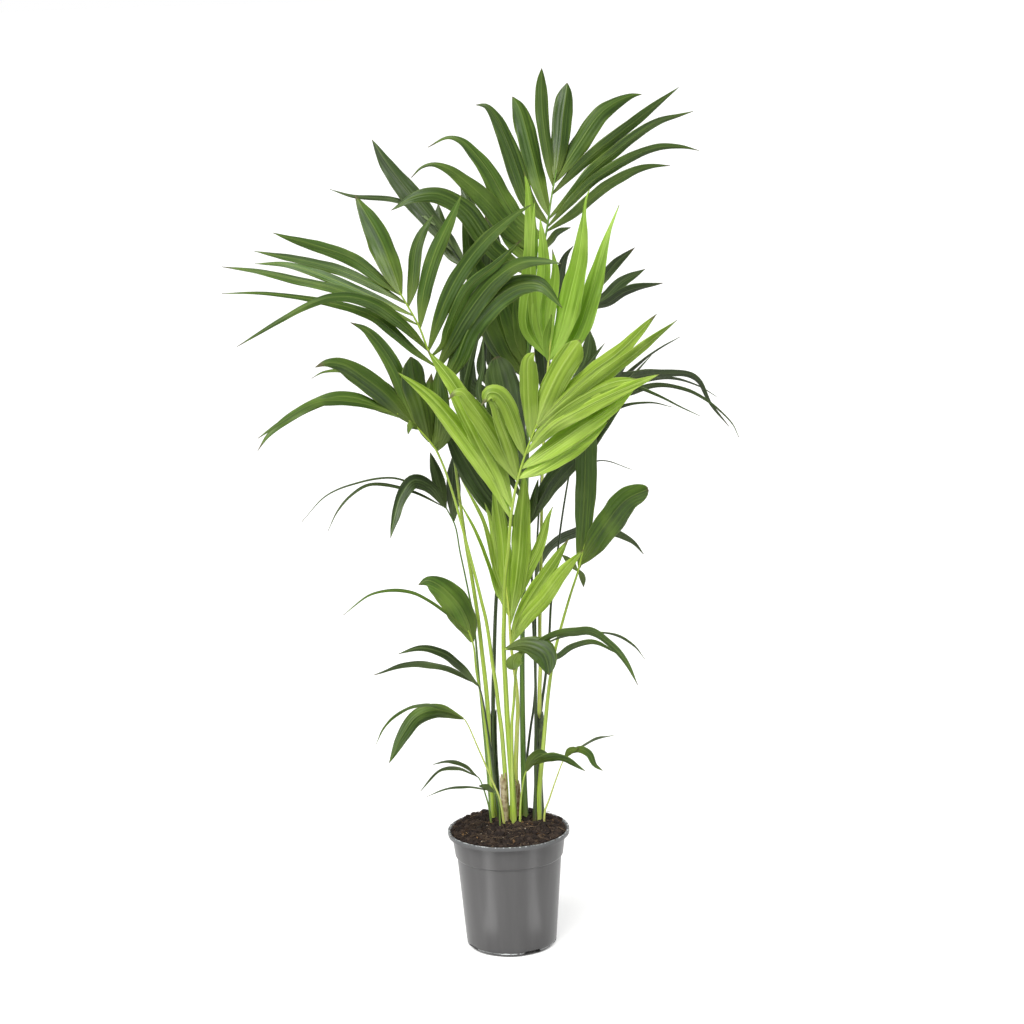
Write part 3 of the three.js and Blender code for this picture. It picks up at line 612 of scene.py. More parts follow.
class FrondTree:
    """The geometry tree that grows a frond from its paths."""

    def __init__(self) -> None:
        """Starts the tree with its inputs and with all that the paths carry."""
        self.tree, self.given = new_tree("frond", {
            "Columns": ("NodeSocketInt", 19),
            "Stalk Sides": ("NodeSocketInt", 12),
            "Thickness": ("NodeSocketFloat", 0.0005),
            "Pleat": ("NodeSocketFloat", 0.045),
            "Leaf Material": ("NodeSocketMaterial", None),
            "Stalk Material": ("NodeSocketMaterial", None),
        })
        self.add = partial(add_node, self.tree)
        self.carried = {
            name: self.add("GeometryNodeInputNamedAttribute", {"Name": name}, data_type=kind).outputs[0]
            for name, kind in CARRIED.items()
        }

    def build(self) -> NodeTree:
        """Links the tree.

        Returns:
            A tree that sweeps a round stalk along the stalk's path and a thin, folded, closed blade
            along each leaflet's path.
        """
        add, carried, given = self.add, self.carried, self.given.outputs
        parted = add("GeometryNodeSeparateGeometry", (given["Geometry"], carried["stalk"]), domain="POINT")
        scale = {0: carried["section"], "Scale": carried["half"]}
        scaled = add("ShaderNodeVectorMath", scale, operation="SCALE")
        upright = add("ShaderNodeCombineXYZ", {2: carried["run"]})
        around = add("ShaderNodeVectorMath", (scaled, (1000, 1000, 0), upright), operation="MULTIPLY_ADD")
        stalk = self.stored(self.sweep(parted, self.stalk_section()), {"blade": around}, "FLOAT_VECTOR")
        stalk = add("GeometryNodeSetMaterial", {0: stalk, "Material": given["Stalk Material"]})
        blade = self.sweep(parted.outputs[1], self.blade_section())
        blade = add("GeometryNodeSetPosition", {0: blade, "Offset": self.blade_relief()})
        across = add("ShaderNodeMath", (carried["across"], carried["half"]), operation="MULTIPLY")
        wide = add("ShaderNodeMath", (across, 1000.0), operation="MULTIPLY")
        place = add("ShaderNodeCombineXYZ", (wide, carried["seed"], carried["run"]))
        aside = add("ShaderNodeMath", (carried["across"],), operation="ABSOLUTE")
        face = add("ShaderNodeMath", (carried["under"], 2.0, aside), operation="MULTIPLY_ADD")
        traits = add("ShaderNodeCombineXYZ", (carried["tint"], carried["wither"], face))
        blade = self.stored(blade, {"blade": place, "traits": traits}, "FLOAT_VECTOR")
        blade = add("GeometryNodeSetMaterial", {0: blade, "Material": given["Leaf Material"]})
        joined = add("GeometryNodeJoinGeometry")
        for part in (blade, stalk):
            self.tree.links.new(part.outputs[0], joined.inputs[0])
        smooth = add("GeometryNodeSetShadeSmooth", (joined,))
        whole = add("GeometryNodeRealizeInstances", (smooth,))
        add("NodeGroupOutput", (whole,))
        return self.tree

    def stored(self, geometry: Any, values: dict[str, Any], kind: str) -> Node:
        """Keeps values on the geometry.

        Args:
            geometry: The geometry.
            values: Fields, by the names that they get.
            kind: Their data type.

        Returns:
            The last node, which gives the geometry with the attributes.
        """
        for name, value in values.items():
            inputs = {"Geometry": geometry, "Name": name, "Value": value}
            geometry = self.add("GeometryNodeStoreNamedAttribute", inputs, data_type=kind)
        return geometry

    def sweep(self, paths: Any, section: Any) -> Node:
        """Draws a section along paths, scaled by their half widths and turned by their sides.

        Args:
            paths: Edges that follow each other.
            section: The section's curve.

        Returns:
            The node that gives the swept mesh, with closed ends.
        """
        curve = self.add("GeometryNodeMeshToCurve", (paths,))
        sides = {0: curve, "Normal": self.carried["side"]}
        turned = self.add("GeometryNodeSetCurveNormal", sides, mode="FREE")
        swept = {0: turned, 1: section, "Scale": self.carried["half"], "Fill Caps": True}
        return self.add("GeometryNodeCurveToMesh", swept)

    def stalk_section(self) -> Node:
        """A round section of radius 1 that knows its own places."""
        circle = {"Resolution": self.given.outputs["Stalk Sides"], "Radius": 1.0}
        ring = self.add("GeometryNodeCurvePrimitiveCircle", circle)
        return self.stored(ring, {"section": self.add("GeometryNodeInputPosition")}, "FLOAT_VECTOR")

    def blade_section(self) -> Node:
        """A flat closed section: over the blade from edge to edge, and back under it.

        Returns:
            The node that gives its curve, with its share across and whether it is the underside.
        """
        add = self.add
        columns = self.given.outputs["Columns"]
        around = add("ShaderNodeMath", (columns, 2.0), operation="MULTIPLY")
        ring = add("GeometryNodeCurvePrimitiveCircle", {"Resolution": around})
        index = add("GeometryNodeInputIndex")
        last = add("ShaderNodeMath", (around, 1.0), operation="SUBTRACT")
        back = add("ShaderNodeMath", (last, index), operation="SUBTRACT")
        step = add("ShaderNodeMath", (index, back), operation="MINIMUM")
        steps = add("ShaderNodeMath", (columns, 1.0), operation="SUBTRACT")
        share = add("ShaderNodeMath", (step, steps), operation="DIVIDE")
        even = add("ShaderNodeMath", (share, 2.0, -1.0), operation="MULTIPLY_ADD")
        # columns stand closer together towards the midrib
        size = add("ShaderNodeMath", (even,), operation="ABSOLUTE")
        close = add("ShaderNodeMath", (size, 1.25), operation="POWER")
        sign = add("ShaderNodeMath", (even,), operation="SIGN")
        across = add("ShaderNodeMath", (close, sign), operation="MULTIPLY")
        under = add("ShaderNodeMath", (index, steps), operation="GREATER_THAN")
        kept = self.stored(ring, {"across": across, "under": under}, "FLOAT")
        flat = add("ShaderNodeCombineXYZ", (self.carried["across"],))
        return add("GeometryNodeSetPosition", {0: kept, "Position": flat})

    def blade_relief(self) -> Node:
        """How far each point of a blade stands from the flat strip between its edges.

        Returns:
            The node that gives the offset: the fold at the midrib, pleats, a wave along each edge,
            the thickness, and a lean of the outline to one side.
        """
        add, carried, given = self.add, self.carried, self.given.outputs
        away = add("ShaderNodeMath", (carried["across"],), operation="ABSOLUTE")
        drop = add("ShaderNodeMath", (away, carried["drop"]), operation="MULTIPLY")
        toward = add("ShaderNodeMath", (carried["across"], 0.5, 0.5), operation="MULTIPLY_ADD")
        edges = {0: toward, 2: carried["wave_low"], 3: carried["wave_high"]}
        wave = add("ShaderNodeMix", edges, data_type="FLOAT")
        square = add("ShaderNodeMath", (away, away), operation="MULTIPLY")
        wave = add("ShaderNodeMath", (square, wave), operation="MULTIPLY")
        turns = add("ShaderNodeMath", (away, 16.0), operation="MULTIPLY")
        ridge = add("ShaderNodeMath", (turns,), operation="COSINE")
        deep = add("ShaderNodeMath", (carried["half"], given["Pleat"]), operation="MULTIPLY")
        pleat = add("ShaderNodeMath", (ridge, deep), operation="MULTIPLY")
        lift = add("ShaderNodeMath", (wave, drop), operation="SUBTRACT")
        lift = add("ShaderNodeMath", (lift, pleat), operation="ADD")
        skin = add("ShaderNodeMath", (carried["under"], given["Thickness"]), operation="MULTIPLY")
        lift = add("ShaderNodeMath", (lift, skin), operation="SUBTRACT")
        lean = add("ShaderNodeMath", (away, carried["lean"]), operation="MULTIPLY")
        up, sideways = (
            add("ShaderNodeVectorMath", {0: carried[way], "Scale": far}, operation="SCALE")
            for way, far in (("out", lift), ("side", lean))
        )
        return add("ShaderNodeVectorMath", (up, sideways), operation="ADD")


def scatter_tree() -> NodeTree:
    """The tree that strews a small shape over a surface.

    Returns:
        A tree with the shape, its number for each square metre, its sizes, tilt and seed as inputs.
    """
    tree, given = new_tree("strewn", {
        "Shape": ("NodeSocketObject", None),
        "Density": ("NodeSocketFloat", 10000.0),
        "Smallest": ("NodeSocketFloat", 0.5),
        "Largest": ("NodeSocketFloat", 1.0),
        "Tilt": ("NodeSocketFloat", 3.0),
        "Seed": ("NodeSocketInt", 1),
        "Material": ("NodeSocketMaterial", None),
    })
    add = partial(add_node, tree)
    points = add(
        "GeometryNodeDistributePointsOnFaces",
        {
            "Mesh": given.outputs["Geometry"], "Density": given.outputs["Density"],
            "Seed": given.outputs["Seed"],
        },
        distribute_method="RANDOM",
    )
    tilt = given.outputs["Tilt"]
    back = add("ShaderNodeMath", (tilt, -1.0), operation="MULTIPLY").outputs[0]
    least = add("ShaderNodeCombineXYZ", (back, back, 0.0))
    most = add("ShaderNodeCombineXYZ", (tilt, tilt, 2 * math.pi))
    turn = add(
        "FunctionNodeRandomValue", {"Min": least, "Max": most, "Seed": given.outputs["Seed"]},
        data_type="FLOAT_VECTOR",
    )
    size = add(
        "FunctionNodeRandomValue",
        {2: given.outputs["Smallest"], 3: given.outputs["Largest"], "Seed": given.outputs["Seed"]},
        data_type="FLOAT",
    )
    shape = add("GeometryNodeObjectInfo", {"Object": given.outputs["Shape"]})
    strewn = add(
        "GeometryNodeInstanceOnPoints",
        {
            "Points": points, "Instance": shape.outputs["Geometry"], "Rotation": turn,
            "Scale": size.outputs[1],
        },
    )
    tint = add("FunctionNodeRandomValue", {2: 0.0, 3: 1.0, "Seed": 77}, data_type="FLOAT")
    tinted = add(
        "GeometryNodeStoreNamedAttribute", {"Geometry": strewn, "Name": "tint", "Value": tint.outputs[1]},
        data_type="FLOAT", domain="INSTANCE",
    )
    whole = add("GeometryNodeRealizeInstances", (tinted,))
    dressed = add("GeometryNodeSetMaterial", {0: whole, "Material": given.outputs["Material"]})
    add("NodeGroupOutput", (dressed,))
    return tree


# ---- paths ----


def seen(x: float, z: float, depth: float) -> np.ndarray:
    """The point that shows at x, z of the upright plane through the pot's axis.

    Args:
        x: Millimetres to the right in that plane.
        z: Millimetres up in that plane.
        depth: Millimetres in front of that plane.

    Returns:
        The point, in metres.
    """
    plane = np.array([x, 0.0, z]) * MM
    return plane + (EYE - plane) * (depth * MM / -EYE[1])


def seen_at(points: np.ndarray) -> np.ndarray:
    """Where points show: the other way round from seen().

    Args:
        points: Points, in metres.

    Returns:
        Their x, z and depth, in millimetres.
    """
    share = (points[:, 1] / EYE[1])[:, None]
    plane = (points - EYE * share) / (1 - share)
    return np.column_stack([plane[:, 0], plane[:, 2], -points[:, 1]]) / MM


def unit(vectors: np.ndarray) -> np.ndarray:
    """The vectors, each made one long."""
    return vectors / np.maximum(np.linalg.norm(vectors, axis=-1, keepdims=True), 1e-9)


class Path:
    """A smooth curve through points, walked by its length."""

    SPAN_STEPS = 24

    def __init__(self, points: np.ndarray) -> None:
        """Draws a centripetal spline through the points.

        Args:
            points: Two points or more, in metres.
        """
        ends = [2 * points[0] - points[1], *points, 2 * points[-1] - points[-2]]
        share = np.linspace(0, 1, self.SPAN_STEPS, endpoint=False)[:, None]
        spans = []
        for a, b, c, d in zip(ends, ends[1:], ends[2:], ends[3:]):
            before, during, after = (np.linalg.norm(v) ** 0.5 for v in (b - a, c - b, d - c))
            leave = ((b - a) / before - (c - a) / (before + during) + (c - b) / during) * during
            reach = ((c - b) / during - (d - b) / (during + after) + (d - c) / after) * during
            cubic = 2 * b - 2 * c + leave + reach
            square = 3 * c - 3 * b - 2 * leave - reach
            spans.append(((cubic * share + square) * share + leave) * share + b)
        self.points = np.vstack([*spans, points[-1:]])
        steps = np.linalg.norm(np.diff(self.points, axis=0), axis=1)
        self.gone = np.concatenate([[0], np.cumsum(steps)])

    @property
    def length(self) -> float:
        """The curve's length, in metres."""
        return float(self.gone[-1])

    def at(self, share: np.ndarray) -> np.ndarray:
        """The points at these shares of the length."""
        gone = share * self.length
        return np.column_stack([np.interp(gone, self.gone, axis) for axis in self.points.T])

    def along(self, share: np.ndarray) -> np.ndarray:
        """The directions at these shares of the length."""
        step = 0.012
        return unit(self.at(np.minimum(share + step, 1)) - self.at(np.maximum(share - step, 0)))


def facing(points: np.ndarray, along: np.ndarray, roll: np.ndarray) -> tuple[np.ndarray, np.ndarray]:
    """Side and outward directions of a part that runs along a direction and is turned about it.

    Args:
        points: Places on the part.
        along: The direction at each.
        roll: Turn from facing the viewer, in radians.

    Returns:
        The side and the outward directions.
    """
    level = unit(np.cross(EYE - points, along))
    side = level * np.cos(roll)[:, None] + np.cross(along, level) * np.sin(roll)[:, None]
    return side, np.cross(along, side)


def smooth_step(values: np.ndarray, start: float, end: float) -> np.ndarray:
    """0 before the start, 1 after the end, and smooth between them."""
    share = np.clip((values - start) / (end - start), 0, 1)
    return share * share * (3 - 2 * share)


# ---- fronds ----


class Outline(Enum):
    """Breadth of a leaflet along its length, as shares of its length and of its full width."""

    POINTED = ((0, 0.13), (0.06, 0.36), (0.2, 0.8), (0.35, 0.97), (0.5, 1), (0.66, 0.87), (0.8, 0.63),
               (0.92, 0.29), (1, 0.02))
    BLUNT = ((0, 0.13), (0.08, 0.42), (0.25, 0.85), (0.45, 0.98), (0.6, 1), (0.78, 0.88), (0.9, 0.68),
             (0.97, 0.4), (1, 0.1))
    SHORT = ((0, 0.13), (0.12, 0.5), (0.35, 0.95), (0.5, 1), (0.72, 0.78), (0.9, 0.35), (1, 0.03))
    OBLONG = ((0, 0.13), (0.1, 0.5), (0.3, 0.85), (0.55, 0.98), (0.72, 1), (0.85, 0.86), (0.93, 0.56),
              (1, 0.04))
    SPEAR = ((0, 0.13), (0.1, 0.6), (0.3, 1), (0.45, 0.92), (0.6, 0.7), (0.75, 0.42), (0.85, 0.17), (1, 0.03))
    TEAR = ((0, 0.1), (0.12, 0.28), (0.3, 0.58), (0.5, 0.9), (0.63, 1), (0.8, 0.78), (0.92, 0.42), (1, 0.03))
    RIBBON = ((0, 0.13), (0.1, 0.6), (0.25, 1), (0.4, 0.85), (0.55, 0.6), (0.75, 0.38), (0.9, 0.2), (1, 0.03))

    def breadth(self, share: np.ndarray) -> np.ndarray:
        """Half width at shares of the length, for a full half width of 1.

        Args:
            share: Shares of the length.

        Returns:
            The breadth, smooth between the outline's points.
        """
        knots, values = np.array(self.value).T
        fine = np.interp(np.linspace(0, 1, 81), knots, values)
        for _ in range(3):
            fine[1:-1] = (fine[:-2] + 2 * fine[1:-1] + fine[2:]) / 4
        return np.interp(share, np.linspace(0, 1, 81), fine)


@dataclass
class FrondPlan:
    """One frond as it is seen from the front, in millimetres.

    foot: x and depth where the petiole stands in the soil. radius: at the foot and at the tip.
    petiole: x, z, depth of points up to the tip. A leaflet is width, roll in degrees, depth of its
    tip, and x, z of points from its root to its tip, where a third number sets a point's depth.
    """

    leaf: Leaf
    stalk: Stalk
    slot: str
    foot: list
    radius: list
    petiole: list
    pointed: list = field(default_factory=list)
    blunt: list = field(default_factory=list)
    oblong: list = field(default_factory=list)
    spear: list = field(default_factory=list)
    ribbon: list = field(default_factory=list)
    tear: list = field(default_factory=list)


@dataclass
class Trail:
    """The path of a stalk or of a leaflet with what its sweep needs at each point."""

    points: np.ndarray
    values: dict[str, np.ndarray]


@dataclass
class Frond:
    """A feather frond: a petiole that stands in the soil, and leaflets rooted along its rachis."""

    name: str
    plan: FrondPlan
    tree: NodeTree
    leaf_step: float = 4.5 * MM
    stalk_step: float = 9 * MM
    short_length: float = 105 * MM
    flat_width: float = 20 * MM
    flat_roll: float = 50.0
    fold: float = math.tan(math.radians(18))
    flat_fold: float = math.tan(math.radians(9))
    wave: float = 0.12
    thickness: float = 0.5 * MM
    pleat: float = 0.032  # of the half width
    columns: int = 19
    dry_tips: tuple = (0.0, 0.0, 4.0, 7.0, 12.0)
    dry_broad_tips: tuple = (0.0, 0.0, 0.0, 2.0, 3.0)

    def __post_init__(self) -> None:
        """Lays the petiole's path and starts the frond's own random draw."""
        self.random = random.Random(self.name)
        collar = np.array([self.plan.foot[0] * MM, -self.plan.foot[1] * MM, STEM_COLLAR])
        self.stem = Path(np.array([collar, *(seen(*p) for p in self.plan.petiole)]))

    def build(self) -> Object:
        """Grows the frond.

        Returns:
            The finished piece.
        """
        trails = [self.stalk_trail()]
        for outline in Outline:
            for row in getattr(self.plan, outline.name.lower(), ()):
                trails.append(self.leaflet_trail(outline, *row[:3], row[3:]))
        mesh = self.paths(trails)
        inputs = {
            "Columns": self.columns,
            "Thickness": self.thickness,
            "Pleat": self.pleat,
            "Leaf Material": finish_of(self.plan.leaf.value),
            "Stalk Material": finish_of(self.plan.stalk.value),
        }
        piece = placed(self.name + "_leaves", grown(self.name, mesh, self.tree, inputs))
        return finished(piece, self.name, sharp=60)

    def paths(self, trails: list[Trail]) -> Mesh:
        """Strings the trails' points together as edges.

        Args:
            trails: The stalk's trail and the leaflets' trails.

        Returns:
            One mesh of edges with every value on its points.
        """
        edges = []
        start = 0
        for trail in trails:
            last = start + len(trail.points) - 1
            edges.extend((i, i + 1) for i in range(start, last))
            start = last + 1
        values = {k: np.concatenate([t.values[k] for t in trails]) for k in trails[0].values}
        return plain_mesh(self.name + "_paths", np.vstack([t.points for t in trails]), edges, (), values)

    def stalk_trail(self) -> Trail:
        """The petiole from the soil to the tip of the rachis, a little flared at its foot.

        Returns:
            Its trail.
        """
        foot = np.array([self.plan.foot[0] * MM, -self.plan.foot[1] * MM, STEM_FOOT])
        share = np.linspace(0, 1, max(12, int(self.stem.length / self.stalk_step)))
        points = np.vstack([foot, self.stem.at(share)])
        share = np.concatenate([[0], share])
        along = self.stem.along(share)
        along[0] = (0, 0, 1)
        low, high = (r * MM for r in self.plan.radius)
        flare = 1 + 0.22 * np.exp(-np.maximum(points[:, 2] - STEM_COLLAR, 0) / (30 * MM))
        side, out = facing(points, along, np.zeros(len(points)))
        return Trail(points, self.values(points, side, out, (low + (high - low) * share) * flare, 1.0))

    def values(
        self, points: np.ndarray, side: np.ndarray, out: np.ndarray, half: np.ndarray, stalk: float
    ) -> dict[str, np.ndarray]:
        """The values that every trail carries, with plain ones where the sweep needs none.

        Args:
            points: The trail's points.
            side: Side directions.
            out: Outward directions.
            half: Half widths, in metres.
            stalk: 1 on the stalk and 0 on a leaflet.

        Returns:
            Values by attribute name.
        """
        count = len(points)
        steps = np.linalg.norm(np.diff(points, axis=0), axis=1)
        run = np.concatenate([[0], np.cumsum(steps)]) / MM
        plain = {
            key: np.zeros(count) for key in ("tint", "wither", "drop", "wave_low", "wave_high", "lean")
        }
        seed = np.full(count, self.random.uniform(0, 90))
        return {
            "stalk": np.full(count, stalk), "side": side, "out": out, "half": half, "run": run, "seed": seed,
            **plain,
        }

    def leaflet_path(self, reach: float, points: list) -> Path:
        """The midrib of a leaflet, whose depth changes evenly from its root to its tip.

        Args:
            reach: Depth of the tip.
            points: Where its points show.

        Returns:
            Its path, rooted in the rachis.
        """
        stem = self.stem.at(np.linspace(0, 1, 161))
        shown = seen_at(stem)
        nearest = np.argmin(np.hypot(shown[:, 0] - points[0][0], shown[:, 1] - points[0][1]))
        start = shown[nearest]
        route = [start[:2], *(np.array(p[:2]) for p in points[1:])]
        gone = np.cumsum([np.linalg.norm(b - a) for a, b in zip(route, route[1:])])
        placed_points = [stem[nearest]]
        for point, far in zip(points[1:], gone / gone[-1]):
            depth = point[2] if len(point) > 2 else start[2] + (reach - start[2]) * far
            placed_points.append(seen(point[0], point[1], depth))
        return Path(np.array(placed_points))

    def leaflet_trail(self, outline: Outline, width: float, roll: float, reach: float, points: list) -> Trail:
        """One leaflet, with a fold, a slight twist, waved edges and sometimes a dry tip.

        Args:
            outline: Its outline.
            width: Full width, in millimetres.
            roll: Turn about its length, in degrees.
            reach: Depth of its tip, in millimetres.
            points: Where its points show.

        Returns:
            Its trail.
        """
        path = self.leaflet_path(reach, points)
        if outline is Outline.POINTED and path.length < self.short_length:
            outline = Outline.SHORT
        share = np.linspace(0, 1, int(np.clip(path.length / self.leaf_step, 14, 80)))
        half = np.maximum(outline.breadth(share) * width * MM / 2, 0.35 * MM)
        twist = self.random.uniform(-9, 9)
        turn = np.radians(roll + twist * (share - 0.35))
        places = path.at(share)
        side, out = facing(places, path.along(share), turn)
        values = self.values(places, side, out, half, 0.0)
        flat = width * MM < self.flat_width or abs(roll) >= self.flat_roll
        values["drop"] = half * (self.flat_fold if flat else self.fold) * (1.1 - 0.3 * share)
        reachable = smooth_step(share, 0.05, 0.3) * half * self.wave
        for key in ("wave_low", "wave_high"):
            start = self.random.uniform(0, 2 * math.pi)
            long_wave = np.sin(values["run"] / 14 + start)
            short_wave = np.sin(values["run"] / 6.1 + 2 * start)
            values[key] = reachable * (long_wave + 0.4 * short_wave)
        values["lean"] = half * self.random.uniform(-0.12, 0.12) * smooth_step(share, 0.5, 0.95)
        values["tint"] = np.full(len(share), self.random.random())
        slender = outline in (Outline.POINTED, Outline.SPEAR, Outline.RIBBON)
        dry = self.random.choice(self.dry_tips if slender else self.dry_broad_tips) / (path.length / MM)
        values["wither"] = smooth_step(share, 1 - 1.6 * dry - 1e-4, 1 - 0.4 * dry)
        return Trail(places, values)


# ---- pot ----


@dataclass
class Pot:
    """The nursery pot: a thin tapered wall with a stacking step, a turned lip and drain channels."""

    finish: PotPlastic = PotPlastic()
    wall: float = 1.4
    columns: int = 264
    channels: int = 4
    channel_width: float = 27.0
    channel_height: float = 7.8
    channel_round: float = 3.0
    channel_start: float = 34.0
    channel_turn: float = 28.0
    side_radius: float = 64.0  # where a channel's side meets the wall
    drain_radius: float = 4.0
    drain_distance: float = 46.0
    drill_heights: tuple = (2.0, 9.0)  # from below a channel's roof to above the floor
    tab_turn: float = -29.0  # middle of a foot tab, from the channel beside it
    tab_half: float = 15.5
    tab_height: float = 5.6
    tab_rise: float = 1.3
    tab_from: float = 58.0  # radius beyond which a tab stands out
    lip_from: float = 165.0  # height above which the lip wavers

    # r, z and how far each corner is rounded
    OUTSIDE = (
        (61, 0, 1.2), (65.2, 4, 2.5), (67, 9, 3), (77.4, 138, 0.7), (79.9, 140.3, 0.9), (83.3, 166, 3),
        (84.6, 171, 1.5), (86, 173.8, 0.6), (88.6, 175.1, 0.5), (88.7, 171.8, 0.35), (90, 171.8, 0.5),
        (90, 178, 1.0), (87.2, 178, 0.8), (84.4, 175.4, 1.0),
    )
    INSIDE = (
        (83.1, 171, 1.5), (81.9, 166, 3), (78.5, 140.5, 0.9), (76, 138.2, 0.7), (65.6, 9.4, 2.5),
        (61.4, 1.4, 2),
    )
    FLOOR = ((34, 0, 0), (47, 0, 0))
    FLOOR_INSIDE = ((46, 1.4, 0), (34, 1.4, 0))

    def build(self) -> Object:
        """Makes the pot.

        Returns:
            The finished piece.
        """
        profile = [*self.FLOOR, *self.OUTSIDE, *self.INSIDE, *self.FLOOR_INSIDE]
        rows = self.dense(self.rounded(profile))
        angles = self.column_angles()
        grid = np.array([[self.point(r, z, a, inner) for a in angles] for r, z, inner in rows])
        count, around = grid.shape[:2]
        faces = [f for i in range(count - 1) for f in ring_faces(i * around, around)]
        points = grid.reshape(-1, 3)
        bottom, top = len(points), len(points) + 1
        points = np.vstack([points, [0, 0, 0], [0, 0, self.wall]])
        faces.extend((bottom, (k + 1) % around, k) for k in range(around))
        base = (count - 1) * around
        faces.extend((top, base + k, base + (k + 1) % around) for k in range(around))
        whole = placed("pot_whole", plain_mesh("pot_whole", points * MM, (), faces))
        piece = placed("pot_shell", self.drained(whole))
        return finished(piece, "pot", self.finish, sharp=38)

    def rounded(self, corners: list[tuple[float, float, float]]) -> list[tuple[float, float]]:
        """A profile with its corners rounded.

        Args:
            corners: Radius, height and rounding of each corner, in millimetres.

        Returns:
            Points of the profile.
        """
        line = [corners[0][:2]]
        for before, here, after in zip(corners, corners[1:], corners[2:]):
            a, b, c = (np.array(p[:2], float) for p in (before, here, after))
            reach = min(here[2], 0.45 * np.linalg.norm(b - a), 0.45 * np.linalg.norm(c - b))
            if reach < 0.05:
                line.append(tuple(b))
                continue
            start, end = b + unit(a - b) * reach, b + unit(c - b) * reach
            for share in np.linspace(0, 1, 5):
                line.append(tuple((1 - share) ** 2 * start + 2 * share * (1 - share) * b + share**2 * end))
        line.append(corners[-1][:2])
        return line

    def dense(self, line: list[tuple[float, float]]) -> list[tuple[float, float, bool]]:
        """The profile with extra rows on long stretches, marked where it is the inner wall.

        Args:
            line: Points of the profile.

        Returns:
            Radius, height and whether the point is inside.
        """
        rows = []
        peak = max(range(len(line)), key=lambda i: line[i][1])
        for i, (a, b) in enumerate(zip(line, line[1:])):
            low = min(a[1], b[1]) < 12
            steps = max(1, int(math.dist(a, b) / (2.0 if low else 9.0)))
            for step in range(steps):
                share = step / steps
                rows.append((a[0] + (b[0] - a[0]) * share, a[1] + (b[1] - a[1]) * share, i >= peak))
        rows.append((*line[-1], True))
        return rows

    def column_angles(self) -> list[float]:
        """The columns' angles, with close pairs at the sides of the channels.

        Returns:
            Angles from -Y, turning to +X, in radians.
        """
        angles = {round(2 * math.pi * k / self.columns, 5) for k in range(self.columns)}
        side = math.asin(self.channel_width / 2 / self.side_radius)
        for i in range(self.channels):
            middle = math.radians(self.channel_turn) + 2 * math.pi * i / self.channels
            for edge in (-side, side):
                at = middle + edge
                angles = {a for a in angles if abs((a - at + math.pi) % (2 * math.pi) - math.pi) > 0.011}
                angles.update({(at - 0.0035) % (2 * math.pi), (at + 0.0035) % (2 * math.pi)})
        return sorted(angles)

    def point(self, radius: float, height: float, angle: float, inner: bool) -> tuple[float, float, float]:
        """A point of the pot's wall or floor, with channels and foot tabs worked in.

        Args:
            radius: Radius in the profile.
            height: Height in the profile.
            angle: Angle of the column.
            inner: Whether it is on the inner wall.

        Returns:
            Its place, in millimetres.
        """
        quarter = 2 * math.pi / self.channels
        off = (angle - math.radians(self.channel_turn) + quarter / 2) % quarter - quarter / 2
        wall_side = math.asin(self.channel_width / 2 / self.side_radius)
        in_channel = abs(off) < wall_side
        if radius < self.side_radius:
            here = math.asin(min(0.99, self.channel_width / 2 / max(radius, self.channel_start)))
            bent = self.bend(abs(off), wall_side, here, quarter / 2)
            angle += math.copysign(bent, off) - off
        if in_channel and radius > self.channel_start - 0.5:
            corner = max(0.0, self.channel_round - (wall_side - abs(off)) * self.side_radius)
            arch = self.channel_round - math.sqrt(max(0.0, self.channel_round**2 - corner**2))
            roof = self.channel_height - arch + (self.wall if inner else 0)
            height = max(height, roof)
        if not inner:
            away = (off - math.radians(self.tab_turn) + quarter / 2) % quarter - quarter / 2
            inside_tab = smooth_step(np.array([self.tab_half + 0.8 - abs(away) * 65]), 0, 1.0)[0]
            tall = smooth_step(np.array([self.tab_height - height]), 0, 0.5)[0]
            if radius > self.tab_from:
                radius += self.tab_rise * inside_tab * tall
        lip_wave = 0.22 * math.sin(3 * angle + 1) + 0.15 * math.sin(7 * angle)
        if height > self.lip_from:
            height += lip_wave
        return (radius * math.sin(angle), -radius * math.cos(angle), height)

    @staticmethod
    def bend(value: float, side: float, here: float, limit: float) -> float:
        """Moves the channel's side from one angle to another and keeps the middle of the next land.

        Args:
            value: An angle from the channel's middle.
            side: The channel's side at the wall.
            here: The channel's side at this radius.
            limit: Half the angle from channel to channel.

        Returns:
            The moved angle.
        """
        if value < side:
            return value * here / side
        return here + (value - side) * (limit - here) / (limit - side)

    def drained(self, whole: Object) -> Mesh:
        """Cuts the drain holes through the channels' roofs.

        Args:
            whole: The pot without holes, which is used up.

        Returns:
            The cut mesh.
        """
        sides = 20
        points, faces = [], []
        for i in range(self.channels):
            turn = math.radians(self.channel_turn) + 2 * math.pi * i / self.channels
            middle = np.array([math.sin(turn), -math.cos(turn), 0]) * self.drain_distance
            start = len(points)
            for height in self.drill_heights:
                for k in range(sides):
                    around = 2 * math.pi * k / sides
                    ring = np.array([math.cos(around), math.sin(around), 0]) * self.drain_radius
                    points.append(middle + ring + (0, 0, height))
            faces.extend(ring_faces(start, sides))
            faces.append(tuple(start + k for k in reversed(range(sides))))
            faces.append(tuple(start + sides + k for k in range(sides)))
        drills = placed("pot_drills", plain_mesh("pot_drills", np.array(points) * MM, (), faces))
        cut = whole.modifiers.new("drains", "BOOLEAN")
        cut.object = drills
        cut.solver = "EXACT"
        depsgraph = bpy.context.evaluated_depsgraph_get()
        mesh = bpy.data.meshes.new_from_object(whole.evaluated_get(depsgraph), depsgraph=depsgraph)
        for used in (whole, drills):
            bpy.data.objects.remove(used)
        return mesh


# ---- soil ----


@dataclass
class Strewing:
    """One kind of loose grain on the soil."""

    name: str
    earth: Earth
    density: float
    smallest: float
    largest: float
    tilt: float
    seed: int


